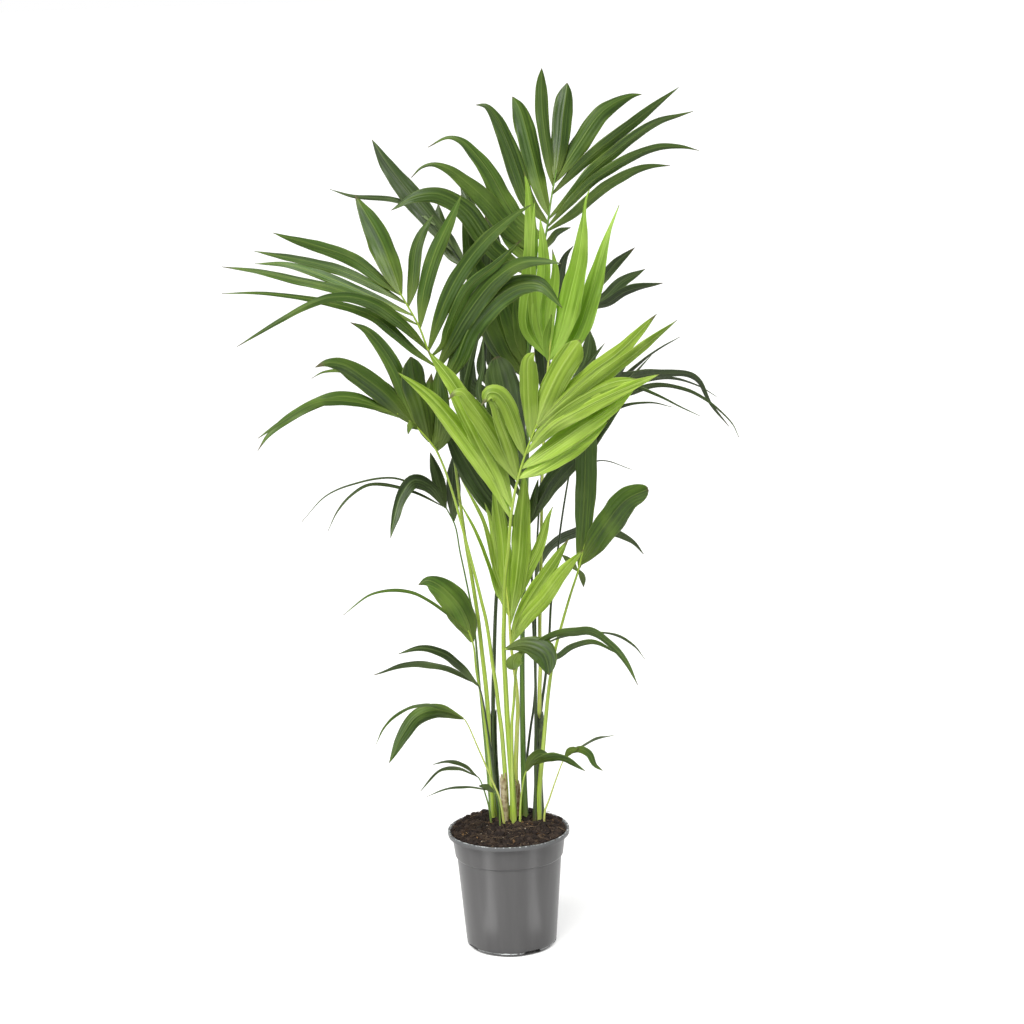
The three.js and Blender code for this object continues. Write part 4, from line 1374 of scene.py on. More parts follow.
@dataclass
class Soil:
    """Potting soil: a low uneven mound with crumbs, fibres, bark and a few pale grains on it."""

    tree: NodeTree
    rings: int = 54
    sectors: int = 180
    radius: float = 83.4
    under: tuple = ((81.4, 168), (79.5, 160), (73.4, 130), (60.0, 9.0))  # r, z down the pot's wall
    surface: tuple = ((0, 189.5), (28, 188), (52, 184), (70, 179.8), (79, 178), (83.4, 176.4))
    heap: float = 8.0
    roughness: float = 2.8

    def build(self) -> None:
        """Makes the soil and what lies on it."""
        top = self.top_points()
        body = placed("soil_body", self.body_mesh(top))
        finished(body, "soil", Earth.PEAT.value)
        faces = self.grid_faces(1)
        for kind in (
            Strewing("soil_crumbs", Earth.CRUMB, 95000, 0.8, 2.4, 3.1, 5),
            Strewing("soil_lumps", Earth.PEAT, 21000, 2.4, 6.2, 3.1, 11),
            Strewing("soil_fibres", Earth.FIBRE, 26000, 0.5, 1.5, 0.45, 17),
            Strewing("soil_bark", Earth.BARK, 2300, 1.6, 4.6, 0.7, 23),
            Strewing("soil_grains", Earth.PALE, 3800, 0.5, 1.1, 3.1, 31),
        ):
            ground = plain_mesh(kind.name + "_ground", top * MM, (), faces)
            shape = self.fibre() if kind.earth is Earth.FIBRE else self.crumb(kind)
            inputs = {
                "Shape": shape, "Density": float(kind.density), "Smallest": kind.smallest,
                "Largest": kind.largest, "Tilt": kind.tilt, "Seed": kind.seed,
                "Material": finish_of(kind.earth.value),
            }
            piece = placed(kind.name, grown(kind.name, ground, self.tree, inputs, keep=("tint",)))
            bpy.data.objects.remove(shape)
            finished(piece)

    def top_points(self) -> np.ndarray:
        """The soil's surface.

        Returns:
            The middle point and then ring after ring, in millimetres.
        """
        radii, heights = np.array(self.surface).T
        points = [(0.0, 0.0, self.surface[0][1])]
        for ring in range(1, self.rings + 1):
            r = self.radius * ring / self.rings
            for k in range(self.sectors):
                angle = 2 * math.pi * k / self.sectors
                x, y = r * math.cos(angle), r * math.sin(angle)
                rough = noise.fractal(Vector((x, y, 3.0)) * 0.07, 0.7, 2.1, 5)
                calm = 1 - 0.6 * r / self.radius
                behind = max(0.0, y / self.radius) ** 1.5 * (1 - (r / self.radius) ** 8)
                level = float(np.interp(r, radii, heights)) + self.heap * behind
                points.append((x, y, level + self.roughness * calm * rough))
        return np.array(points)

    def grid_faces(self, first: int) -> list[tuple[int, ...]]:
        """Faces of the round grid.

        Args:
            first: Place of the first ring's first point; the middle point comes before it.

        Returns:
            Triangles round the middle and quads between the rings.
        """
        n = self.sectors
        faces = [(0, first + k, first + (k + 1) % n) for k in range(n)]
        for ring in range(self.rings - 1):
            faces.extend(ring_faces(first + ring * n, n, flip=True))
        return faces

    def body_mesh(self, top: np.ndarray) -> Mesh:
        """The closed body of the soil.

        Args:
            top: The surface's points.

        Returns:
            The surface with the side along the pot's wall and the floor.
        """
        n = self.sectors
        angles = 2 * np.pi * np.arange(n) / n
        circle = np.column_stack([np.cos(angles), np.sin(angles)])
        sides = [np.column_stack([circle * r, np.full(n, z)]) for r, z in self.under]
        points = np.vstack([top, *sides, [[0, 0, self.under[-1][1]]]])
        faces = self.grid_faces(1)
        start = 1 + (self.rings - 1) * n
        for ring in range(len(sides)):
            faces.extend(ring_faces(start + ring * n, n, flip=True))
        last = start + len(sides) * n
        faces.extend((last + k, len(points) - 1, last + (k + 1) % n) for k in range(n))
        return plain_mesh("soil_body", points * MM, (), faces)

    def crumb(self, kind: Strewing) -> Object:
        """A broken lump of a few dozen faces, one millimetre in radius.

        Args:
            kind: What it is for; bark is flat.

        Returns:
            The shape, to be strewn.
        """
        drawn = random.Random(kind.seed)
        points = []
        step = 2
        lattice = [(x, y, z) for x in range(step + 1) for y in range(step + 1) for z in range(step + 1)]
        outer = [p for p in lattice if any(c in (0, step) for c in p)]
        index = {p: i for i, p in enumerate(outer)}
        for p in outer:
            way = np.array(p, float) - step / 2
            way = way / np.linalg.norm(way) * drawn.uniform(0.7, 1.15)
            if kind.earth is Earth.BARK:
                way *= (1.3, 0.8, 0.28)
            points.append(way)
        faces = []
        for axis in range(3):
            u, v = [a for a in range(3) if a != axis]
            for level in (0, step):
                for i in range(step):
                    for j in range(step):
                        ring = []
                        for du, dv in ((0, 0), (1, 0), (1, 1), (0, 1)):
                            at = [0, 0, 0]
                            at[axis], at[u], at[v] = level, i + du, j + dv
                            ring.append(index[tuple(at)])
                        flip = (level == 0) != (axis == 1)
                        faces.append(tuple(reversed(ring)) if flip else tuple(ring))
        return placed("soil_shape", plain_mesh("soil_shape", np.array(points) * MM, (), faces))

    def fibre(self) -> Object:
        """A thin bent root fibre, about 14 mm long.

        Returns:
            The shape, to be strewn.
        """
        share = np.linspace(-1, 1, 9)
        line = np.column_stack([share * 7, 2.2 * np.sin(share * 2.4), 0.9 + 1.1 * np.cos(share * 1.9)])
        across = np.array([(0, 1, -0.6), (0, -1, -0.6), (0, 0, 1.2)]) * 0.16
        points = (line[:, None, :] + across[None]).reshape(-1, 3)
        faces = [(0, 1, 2), (len(points) - 1, len(points) - 2, len(points) - 3)]
        for i in range(len(line) - 1):
            faces.extend(ring_faces(3 * i, 3, flip=True))
        return placed("soil_shape", plain_mesh("soil_shape", points * MM, (), faces))


# ---- leaf sheaths ----


@dataclass
class Sheath:
    """An old leaf base that clasps a stem: an open tube with a torn rim."""

    name: str
    finish: SheathFinish
    slot: str
    centres: np.ndarray
    radius: float
    mouth: float
    wall: float = 1.0
    arc: float = math.radians(250)
    in_cad: bool = True
    flare: float = 0.08
    steps: int = 44
    rows: int = 60

    def build(self) -> Object:
        """Makes the sheath.

        Returns:
            The finished piece.
        """
        drawn = random.Random(self.name)
        path = Path(self.centres)
        share = np.linspace(0, 1, self.rows)
        middle = path.at(share)
        points = []
        low = drawn.uniform(0, 9)
        for i, centre in enumerate(middle):
            widen = 1 + self.flare * share[i]
            for face in (0, 1):
                for k in range(self.steps + 1):
                    turn = k if face == 0 else self.steps - k
                    angle = self.mouth - (2 * math.pi - self.arc) / 2 - self.arc * turn / self.steps
                    rib = 0.16 * math.sin(turn * 1.9) + 0.3 * noise.noise(
                        Vector((turn * 0.4, share[i] * 14, low))
                    )
                    r = self.radius * widen + rib - self.wall * face
                    torn = self.tear(turn, low) * smooth_step(share[i : i + 1], 0.72, 1.0)[0]
                    points.append(
                        (centre[0] + r * MM * math.cos(angle), centre[1] + r * MM * math.sin(angle),
                         centre[2] + torn * MM)
                    )
        around = 2 * (self.steps + 1)
        faces = [f for i in range(self.rows - 1) for f in ring_faces(i * around, around, flip=True)]
        last = (self.rows - 1) * around
        for k in range(self.steps):
            a, b, c, d = k, k + 1, around - 2 - k, around - 1 - k
            faces.append((a, b, c, d))
            faces.append((last + d, last + c, last + b, last + a))
        piece = placed(self.name + "_fibre", plain_mesh(self.name, np.array(points), (), faces))
        return finished(piece, self.name if self.in_cad else "", self.finish, sharp=50)

    def tear(self, step: int, low: float) -> float:
        """How far the torn rim stands up or hangs down at a step round it, in millimetres."""
        place = step / self.steps * 8
        jag = 3.2 * noise.noise(Vector((step * 0.9, low, 0.0)))
        return 5 * math.sin(place * 2.4) - 4 * abs(place / 4 - 1) + jag


def upright(x: float, depth: float, lean: float, top: float) -> np.ndarray:
    """Centres of a dry sheath, from its foot to its top, in metres."""
    foot = np.array([x, -depth, STEM_FOOT / MM])
    collar = np.array([x, -depth, STEM_COLLAR / MM])
    rim = np.array([x + lean, -depth, top])
    return np.array([foot, collar, (collar + rim) / 2, rim]) * MM


def round_stem(frond: Frond, top: float) -> np.ndarray:
    """Centres of a sheath that clasps a frond's petiole up to a height, in metres."""
    points = frond.stem.at(np.linspace(0, 1, 401))
    foot = np.array([*points[0][:2], STEM_FOOT])
    heights = [STEM_COLLAR, 240 * MM, 295 * MM, top * MM]
    return np.array([foot, *(points[np.argmin(np.abs(points[:, 2] - z))] for z in heights)])


# ---- studio ----


@dataclass
class Studio:
    """A pale floor, soft light from both sides of the front, and the camera."""

    floor_radius: float = 40.0
    floor_colour: int = 0xC8C8C6
    floor_glow: float = 0.62
    fill_above: float = 0.48
    fill_below: float = 0.16
    strip_away: float = 0.34
    strip_size: tuple = (0.075, 0.42)

    def build(self) -> None:
        """Sets the floor, the lights, the surroundings and the camera."""
        self.floor()
        self.lights()
        self.surroundings()
        self.camera()
        view = bpy.context.scene.view_settings
        view.view_transform = "Standard"
        view.look = "None"

    def floor(self) -> None:
        """A wide pale disc under the pot."""
        turns = np.linspace(0, 2 * np.pi, 96, endpoint=False)
        ring = np.column_stack([np.cos(turns), np.sin(turns), 0 * turns]) * self.floor_radius
        disc = placed("floor", plain_mesh("floor", ring, (), [tuple(range(len(ring)))]))
        material, tree = blank_material("floor_paper")
        add = partial(add_node, tree)
        place = add("ShaderNodeTexCoord").outputs["Object"]
        away = add("ShaderNodeVectorMath", (place,), operation="LENGTH").outputs["Value"]
        # the paper glows, but not under the pot, where its channels show dark
        glow = add(
            "ShaderNodeMapRange",
            {"Value": away, "From Min": 0.06, "From Max": 0.064, "To Max": self.floor_glow},
        )
        paper = add(
            "ShaderNodeBsdfPrincipled",
            {
                "Base Color": colour(self.floor_colour), "Roughness": 0.9, "Specular IOR Level": 0.1,
                "Emission Color": (1, 1, 1, 1), "Emission Strength": glow,
            },
        )
        add("ShaderNodeOutputMaterial", {"Surface": paper})
        disc.data.materials.append(material)
        disc.visible_diffuse = False

    def lights(self) -> None:
        """Soft boxes at both sides, above and behind, two strips that the pot mirrors, and a soft sun."""
        for name, place, size, power in (
            ("box_left", (-1.75, -1.8, 0.95), (0.42, 1.9), 15.0),
            ("box_right", (2.0, -1.6, 0.95), (0.42, 1.9), 12.0),
            ("box_above", (-0.5, -1.2, 3.6), (1.6, 1.6), 26.0),
            ("box_behind", (0.8, 3.0, 2.4), (2.4, 2.0), 10.0),
        ):
            aim = Vector((0, 0, 0.7 if place[2] > 2 else place[2]))
            turn = (aim - Vector(place)).to_track_quat("-Z", "Y").to_euler()
            self.lamp(name, "AREA", power, place, turn, shape="RECTANGLE", size=size[0], size_y=size[1])
        # the pot mirrors the ground before it: each strip lies there and points at the pot
        for name, turn, power in (("strip_left", -41.0, 0.24), ("strip_right", 47.0, 0.19)):
            angle = math.radians(turn)
            place = (self.strip_away * math.sin(angle), -self.strip_away * math.cos(angle), 0.004)
            shape = dict(zip(("shape", "size", "size_y"), ("RECTANGLE", *self.strip_size)))
            self.lamp(name, "AREA", power, place, (math.pi, 0, angle), **shape).visible_camera = False
        tilt = (math.radians(36), math.radians(-16), 0)
        self.lamp("sun", "SUN", 2.4, (0, 0, 0), tilt, angle=math.radians(30))

    @staticmethod
    def lamp(name: str, kind: str, energy: float, place: tuple, turn: Any, **traits: Any) -> Object:
        """Puts up one light.

        Args:
            name: Its name.
            kind: Its type.
            energy: Watts, or the sun's strength.
            place: Where it stands, in metres.
            turn: How it is turned; unturned it shines down.
            traits: Further properties.

        Returns:
            The light's object.
        """
        light = bpy.data.lights.new(name, kind)
        light.energy = energy
        for key, value in traits.items():
            setattr(light, key, value)
        lamp = placed(name, light)
        lamp.location, lamp.rotation_euler = place, turn
        return lamp

    def surroundings(self) -> None:
        """A white room that is lighter above than below."""
        world = bpy.data.worlds.new("white_room")
        world.use_nodes = True
        tree = world.node_tree
        add = partial(add_node, tree)
        tree.nodes.clear()
        way = add("ShaderNodeTexCoord").outputs["Generated"]
        height = add("ShaderNodeSeparateXYZ", (way,)).outputs["Z"]
        fill = add(
            "ShaderNodeMapRange",
            {
                "Value": height, "From Min": -0.3, "From Max": 0.8, "To Min": self.fill_below,
                "To Max": self.fill_above,
            },
        )
        rays = add("ShaderNodeLightPath")
        strength = add(
            "ShaderNodeMix", {0: rays.outputs["Is Camera Ray"], 2: fill, 3: 1.0}, data_type="FLOAT"
        )
        even = add("ShaderNodeBackground", {"Color": (1, 1, 1, 1), "Strength": strength})
        add("ShaderNodeOutputWorld", {"Surface": even})
        bpy.context.scene.world = world

    def camera(self) -> None:
        """The photograph's view: from chest height, a little down and slightly rolled."""
        data = bpy.data.cameras.new("camera")
        data.sensor_width = SENSOR
        data.lens = SENSOR * FOCAL_SHARE
        data.clip_start, data.clip_end = 0.05, 200.0
        ahead = Vector((0, math.cos(CAMERA_PITCH), -math.sin(CAMERA_PITCH)))
        right = Vector((1, 0, 0))
        up = right.cross(ahead)
        turned_right = right * math.cos(CAMERA_ROLL) - up * math.sin(CAMERA_ROLL)
        turned_up = right * math.sin(CAMERA_ROLL) + up * math.cos(CAMERA_ROLL)
        place = Matrix((turned_right, turned_up, -ahead)).transposed().to_4x4()
        place.translation = Vector(EYE)
        camera = placed("camera", data)
        camera.matrix_world = place
        bpy.context.scene.camera = camera


FRONDS: dict[str, FrondPlan] = {}
FRONDS["frond_top"] = FrondPlan(
    Leaf.DEEP, Stalk.GREEN, "leaf_dark", foot=[25, -16], radius=[4.6, 1.2],
    petiole=[[25, 300, -24], [28, 450, -36], [36, 600, -50], [44, 750, -64], [48, 880, -78], [58, 990, -90],
        [77, 1050, -98], [88, 1110, -106], [96, 1148, -110]],
    pointed=[
        [33, 20, -50, [55, 1000], [8, 1037], [-30, 1092], [-55, 1112], [-77, 1120], [-107, 1116],
         [-139, 1098]],
        [19, 18, -216, [90, 1113], [116, 1140], [144, 1165], [179, 1191], [213, 1216], [244, 1239],
         [270, 1258]],
        [18, 18, -190, [84, 1081], [117, 1113], [145, 1144], [179, 1171], [214, 1196], [241, 1211],
         [268, 1218], [290, 1224]],
        [29, -18, -226, [95, 1129], [123, 1176], [163, 1228], [201, 1248], [218, 1250]],
        [17, 20, -136, [85, 1059], [115, 1083], [143, 1105], [163, 1121], [184, 1133], [212, 1145],
         [232, 1149], [256, 1149]],
        [14, 40, -150, [78, 1033], [86, 1048], [95, 1059], [114, 1066]],
        [38, 17, -124, [46, 850], [22, 892], [0, 952], [-20, 1005], [-38, 1090]],
        [34, 20, -104, [47, 865], [34, 915], [20, 965], [2, 1010]],
        [28, 23, -92, [48, 875], [43, 925], [34, 985]],
        [28, -20, -120, [44, 850], [2, 900], [-14, 950], [-14, 1010]],
        [24, 20, -96, [62, 1015], [44, 1036], [28, 1052], [10, 1068]],
        [16, 20, -160, [81, 1069], [115, 1102], [143, 1128], [171, 1146], [198, 1161], [226, 1172],
         [246, 1176], [273, 1175], [297, 1169]],
        [29, 17, -140, [70, 1073], [55, 1107], [44, 1141], [34, 1172], [24, 1199], [13, 1223], [-1, 1240],
         [-15, 1242]],
    ],
    oblong=[
        [31, 20, -160, [80, 1086], [72, 1127], [63, 1168], [55, 1205], [47, 1234], [37, 1252]],
        [20, 15, -150, [92, 1125], [85, 1168], [79, 1220], [78, 1269], [79, 1290]],
        [30, 14, -176, [95, 1138], [102, 1179], [107, 1222], [113, 1258], [114, 1269]],
    ],
    spear=[
        [33, 18, -84, [59, 1035], [36, 1060], [-6, 1110], [-30, 1133], [-55, 1153], [-78, 1161], [-94, 1157],
         [-109, 1143]],
        [32, 20, -116, [68, 1054], [36, 1085], [1, 1148], [-17, 1173], [-35, 1192], [-55, 1198], [-84, 1185]],
    ],
)
FRONDS["frond_back_left"] = FrondPlan(
    Leaf.SHADED, Stalk.DARK, "leaf_dark", foot=[-15, -39], radius=[3.5, 1.4],
    petiole=[[-18, 300, -56], [-17, 370, -64], [-14, 430, -71], [-8, 525, -84], [3, 630, -100],
        [14, 730, -116], [21, 820, -130], [20, 880, -138], [7, 925, -145], [-5, 952, -150],
        [-30, 1000, -158], [-54, 1040, -164], [-78, 1075, -170]],
    pointed=[
        [33, 18, -226, [-55, 1040], [-85, 1087], [-118, 1130], [-143, 1165], [-162, 1198]],
        [9, 25, -276, [-87, 1072], [-103, 1097], [-120, 1108], [-140, 1114], [-168, 1117], [-194, 1120],
         [-224, 1130]],
        [30, 22, -220, [-40, 1015], [-58, 1045], [-68, 1070], [-72, 1105]],
        [36, -23, -190, [-8, 950], [-2, 1010], [0, 1050], [-6, 1090]],
        [30, 20, -240, [-30, 995], [-20, 1060], [-28, 1100], [-40, 1130]],
        [20, -20, -150, [22, 872], [0, 870], [-4, 895], [8, 922]],
        [16, 20, -118, [-16, 828], [-17, 863], [-15, 895], [-11, 921]],
        [25, 20, -96, [-16, 822], [-32, 844], [-37, 876], [-32, 910], [-26, 933]],
    ],
)
FRONDS["frond_upper_left"] = FrondPlan(
    Leaf.FRESH, Stalk.LIME, "leaf_green", foot=[-17, -19], radius=[4.0, 1.2],
    petiole=[[-19, 215, -21], [-22, 254, -22], [-25, 306, -22], [-25, 360, -22], [-27, 400, -22],
        [-31, 450, -22], [-35, 500, -21], [-42, 560, -20], [-50, 620, -18], [-58, 700, -16],
        [-63, 752, -14], [-72, 800, -10], [-80, 860, -6], [-95, 900, -2], [-105, 930, 2], [-120, 960, 6],
        [-132, 982, 10]],
    pointed=[
        [37, 20, -60, [-128, 976], [-139, 1010], [-157, 1060], [-180, 1104], [-189, 1121]],
        [20, -20, -34, [-118, 962], [-114, 988], [-107, 1039], [-99, 1061], [-80, 1090]],
        [24, -18, 6, [-105, 930], [-97, 982], [-80, 1035], [-55, 1085], [-39, 1117]],
        [25, -20, 46, [-92, 897], [-70, 961], [-42, 1011], [-3, 1056], [39, 1089], [59, 1100]],
        [18, 20, 70, [-90, 885], [-72, 904], [-63, 927], [-32, 985], [11, 1020], [45, 1052]],
        [30, -20, 84, [-79, 869], [-62, 905], [-38, 945], [4, 995], [44, 1019], [82, 1019], [99, 1015]],
        [40, -17, 72, [-67, 846], [-56, 878], [-33, 929], [1, 966], [31, 985], [51, 989], [71, 985],
         [99, 952]],
        [21, 20, -150, [-130, 978], [-156, 999], [-196, 1031], [-246, 1051], [-290, 1065], [-307, 1071]],
        [16, 20, -104, [-122, 964], [-167, 992], [-214, 1015], [-264, 1030], [-335, 1046]],
        [15, 20, -54, [-114, 948], [-158, 970], [-207, 994], [-255, 1015], [-292, 1026], [-335, 1028]],
        [14, 20, 0, [-107, 934], [-173, 969], [-223, 989], [-278, 1003], [-331, 1017], [-382, 1025]],
    ],
    ribbon=[
        [17, 20, 62, [-90, 872], [-115, 898], [-139, 922], [-165, 945], [-196, 959], [-231, 969],
         [-278, 979], [-330, 986], [-384, 987]],
        [21, 20, 128, [-91, 896], [-114, 921], [-139, 945], [-165, 964], [-197, 976], [-228, 977],
         [-259, 968], [-308, 943], [-366, 910]],
    ],
)
FRONDS["frond_young"] = FrondPlan(
    Leaf.YOUNG, Stalk.YELLOW, "leaf_bright", foot=[48, -18], radius=[3.6, 1.4],
    petiole=[[46, 233, -16], [47, 279, -15], [48, 314, -14], [50, 349, -12], [52, 395, -11], [54, 429, -10],
        [54.5, 487, -8], [57, 532, -6], [62, 660, -6], [66, 740, -10], [72, 820, -16], [78, 880, -22],
        [84, 920, -26]],
    pointed=[
        [23, 22, -46, [62, 881], [66, 935], [74, 992], [75, 1035], [71, 1081]],
        [17, -18, -30, [70, 889], [80, 935], [87, 978], [90, 1006], [87, 1036]],
        [15, 45, 6, [65, 878], [76, 906], [84, 943]],
        [23, 18, -58, [51, 881], [48, 924], [53, 987], [58, 1050], [56, 1107], [54, 1128], [50, 1147]],
        [15, -20, -50, [64, 878], [60, 924], [56, 970], [56, 1022], [61, 1078], [64, 1104]],
        [20, 20, -66, [72, 883], [71, 906], [73, 929], [79, 952]],
    ],
    spear=[
        [36, -20, -16, [85, 877], [94, 912], [104, 946], [114, 983], [123, 1020], [130, 1059], [136, 1104],
         [142, 1120]],
        [33, -20, -92, [85, 877], [109, 900], [122, 922], [133, 951], [143, 982], [153, 1016], [167, 1058],
         [183, 1096]],
    ],
)
FRONDS["frond_right_back"] = FrondPlan(
    Leaf.SHADED, Stalk.DARK, "leaf_dark", foot=[24, -28], radius=[2.0, 1.1],
    petiole=[[25, 215, -31], [27, 262, -35], [31, 291, -38], [35, 319, -42], [38, 338, -46], [42, 360, -50],
        [46, 400, -54], [48, 480, -60], [50, 550, -72], [62, 700, -94], [82, 850, -118],
        [105, 920, -130], [130, 960, -142], [150, 982, -150]],
    pointed=[
        [16, -17, -246, [140, 970], [152, 985], [177, 1014], [204, 1035]],
        [20, -22, -206, [128, 956], [153, 961], [184, 987], [218, 1004]],
        [18, 45, -126, [124, 948], [160, 955], [191, 973], [243, 983]],
        [17, -18, -176, [106, 922], [96, 958], [95, 987], [105, 1025], [117, 1040]],
        [25, 56, -52, [51, 560], [63, 586], [83, 610], [109, 622], [125, 626], [165, 621], [190, 609],
         [208, 588]],
        [24, 20, -70, [76, 815], [71, 870], [70, 920], [74, 960]],
    ],
)
FRONDS["frond_right_arching"] = FrondPlan(
    Leaf.SHADED, Stalk.DARK, "leaf_dark", foot=[43, -31], radius=[2.6, 1],
    petiole=[[45, 250, -30], [52, 350, -28], [61, 410, -26], [68, 470, -24], [72, 520, -22], [84, 600, -22],
        [90, 640, -22], [102, 705, -22], [115, 760, -22], [128, 800, -20], [142, 820, -20]],
    pointed=[
        [13, -23, 10, [112, 765], [115, 847], [128, 863], [150, 890], [158, 899]],
        [10, 60, -70, [122, 785], [165, 825], [193, 845], [212, 866], [226, 881]],
        [8, 55, -110, [125, 792], [180, 845], [229, 884], [266, 905]],
        [14, 50, -50, [126, 796], [160, 832], [183, 860], [197, 881]],
        [10, 80, 20, [104, 712], [150, 728], [193, 714]],
    ],
    oblong=[
        [26, -23, 4, [112, 750], [118, 825], [126, 865], [133, 885], [138, 917]],
    ],
    ribbon=[
        [19, 30, -130, [130, 804], [165, 842], [201, 850], [237, 852], [275, 851], [291, 841], [307, 809],
         [334, 773]],
        [10, 30, 40, [138, 815], [164, 819], [193, 826], [229, 836], [268, 830], [300, 814], [338, 778],
         [348, 757]],
        [8, 30, 84, [134, 810], [164, 824], [202, 833], [229, 823], [268, 802], [292, 790]],
        [9, 30, -170, [128, 798], [200, 838], [250, 846], [290, 834], [317, 817]],
        [8, 30, 90, [120, 778], [150, 790], [182, 807], [225, 811], [252, 804]],
    ],
)
FRONDS["frond_front"] = FrondPlan(
    Leaf.BRIGHT, Stalk.LIME, "leaf_bright", foot=[7, 0], radius=[4.8, 1.3],
    petiole=[[8, 230, 6], [5, 300, 14], [3, 350, 22], [2, 400, 30], [1, 450, 38], [1.5, 475, 43],
        [3, 500, 48], [5, 550, 58], [9, 580, 64], [12, 600, 68], [16, 640, 78], [19, 660, 83],
        [25, 690, 92], [35, 725, 102], [46, 755, 112], [58, 784, 122]],
    pointed=[
        [29, 20, 118, [19, 647], [-4, 703], [-36, 754], [-67, 799], [-99, 835], [-138, 866]],
        [35, 23, 100, [20, 665], [4, 715], [-19, 762], [-38, 806], [-57, 844], [-95, 897]],
        [24, 22, 142, [30, 706], [21, 750], [6, 795], [-1, 816], [-10, 826], [-21, 814]],
        [27, -23, 216, [57, 780], [99, 825], [141, 860], [178, 886], [233, 939]],
        [24, -20, 206, [48, 760], [89, 801], [131, 827], [172, 843], [210, 846]],
        [25, -17, 230, [42, 742], [81, 782], [125, 806], [170, 827], [235, 852]],
        [32, -22, 186, [36, 722], [79, 751], [121, 779], [161, 804], [203, 837]],
        [30, -18, 156, [31, 706], [73, 730], [119, 758], [163, 790]],
        [20, 30, 244, [56, 778], [104, 810], [147, 842], [185, 870], [262, 929]],
        [31, 18, 132, [25, 704], [5, 753], [-18, 793], [-36, 820], [-48, 835], [-59, 834], [-67, 824]],
    ],
    oblong=[
        [27, 17, 140, [38, 740], [27, 787], [14, 819], [2, 832], [-10, 832], [-17, 817]],
        [27, -20, 150, [50, 764], [48, 799], [47, 841], [49, 880], [58, 889]],
        [38, -17, 170, [57, 784], [76, 829], [95, 865], [123, 905]],
    ],
)
FRONDS["frond_dark"] = FrondPlan(
    Leaf.SHADED, Stalk.DARK, "leaf_dark", foot=[39, 1], radius=[2.8, 1.2],
    petiole=[[40, 209, 0], [43, 256, -2], [44, 303, -3], [45, 349, 0], [46, 395, 6], [46, 441, 10],
        [45, 489, 14], [45, 560, 22], [44, 600, 25], [42, 650, 30], [38, 700, 34]],
    pointed=[
        [32, -22, 44, [42, 640], [74, 698], [114, 741], [152, 782], [188, 818]],
        [34, 22, 12, [42, 640], [12, 649], [-17, 683], [-43, 728], [-60, 762], [-76, 802]],
        [12, -23, 40, [43, 640], [50, 672], [58, 704]],
        [14, 20, 20, [41, 660], [12, 720], [-18, 780], [-40, 830], [-34, 868], [-22, 911], [-16, 929]],
        [11, -20, 24, [40, 670], [20, 730], [-10, 785], [-24, 835], [-17, 871], [-15, 917]],
    ],
    blunt=[
        [60, 20, 48, [38, 700], [22, 770], [14, 830], [3, 884]],
    ],
)
FRONDS["frond_left"] = FrondPlan(
    Leaf.DEEP, Stalk.LIME, "leaf_green", foot=[-2, -10], radius=[3.6, 1.2],
    petiole=[[-2, 240, -9], [-4, 293, -4], [-6, 331, 3], [-9, 360, 6], [-12, 398, 12], [-16, 430, 17],
        [-20, 470, 23], [-24, 500, 27], [-29, 524, 31], [-34, 549, 34], [-63, 677, 38], [-69, 699, 43],
        [-75, 720, 48], [-82, 739, 53], [-88, 753, 57], [-96, 764, 60], [-110, 781, 64], [-123, 794, 68],
        [-137, 805, 71], [-142, 806, 76]],
    pointed=[
        [24, 18, 70, [-115, 785], [-126, 829], [-140, 869], [-159, 903], [-181, 929], [-203, 940]],
        [28, -23, 52, [-86, 755], [-83, 800], [-82, 840], [-80, 872]],
        [22, -20, 62, [-84, 750], [-74, 778], [-62, 804]],
        [8, 30, 14, [-128, 796], [-180, 850], [-207, 869], [-244, 870], [-262, 861]],
        [14, 40, 40, [-112, 785], [-128, 812], [-146, 838], [-168, 856], [-190, 860]],
        [17, 22, 168, [-128, 795], [-159, 813], [-199, 831], [-237, 832], [-293, 807], [-327, 781],
         [-344, 758]],
        [33, 20, 124, [-122, 790], [-153, 831], [-184, 858], [-215, 879], [-239, 883], [-256, 877]],
        [14, 40, 196, [-140, 804], [-199, 824], [-255, 826], [-310, 798], [-343, 776]],
        [12, 40, 96, [-110, 782], [-122, 790], [-127, 776]],
        [26, 20, 50, [-88, 755], [-95, 791], [-96, 825], [-90, 863]],
        [24, -20, 44, [-88, 759], [-80, 795], [-78, 829], [-81, 868]],
    ],
    oblong=[
        [38, 20, 72, [-95, 766], [-105, 816], [-115, 854], [-119, 888]],
    ],
)
FRONDS["frond_lower_front"] = FrondPlan(
    Leaf.BRIGHT, Stalk.YELLOW, "leaf_bright", foot=[10, -18], radius=[4.3, 1.3],
    petiole=[[12, 230, -16], [13, 270, -12], [15, 300, -8], [17, 330, -4], [19, 360, 0], [18, 395, 5],
        [15, 425, 9], [12, 455, 14], [11, 475, 17], [10, 510, 23], [7, 545, 28]],
    pointed=[
        [19, -17, 46, [11, 487], [18, 524], [36, 565], [56, 603], [70, 645], [78, 663]],
        [24, -22, 76, [11, 465], [25, 500], [49, 541], [76, 580], [100, 615]],
        [25, -18, 104, [12, 461], [32, 496], [61, 529], [89, 565], [121, 598]],
        [31, -23, 50, [10, 499], [18, 534], [26, 586], [32, 650], [38, 716]],
        [28, 20, 44, [8, 506], [5, 556], [4, 617], [-2, 671], [-6, 705]],
        [15, 23, 42, [8, 500], [-3, 551], [-5, 603], [-12, 647], [-20, 672]],
        [9, 40, 88, [8, 522], [-6, 567], [-13, 607], [-23, 648], [-52, 706]],
        [7, 44, 64, [9, 512], [-5, 534], [-17, 583], [-35, 632], [-59, 681]],
    ],
)
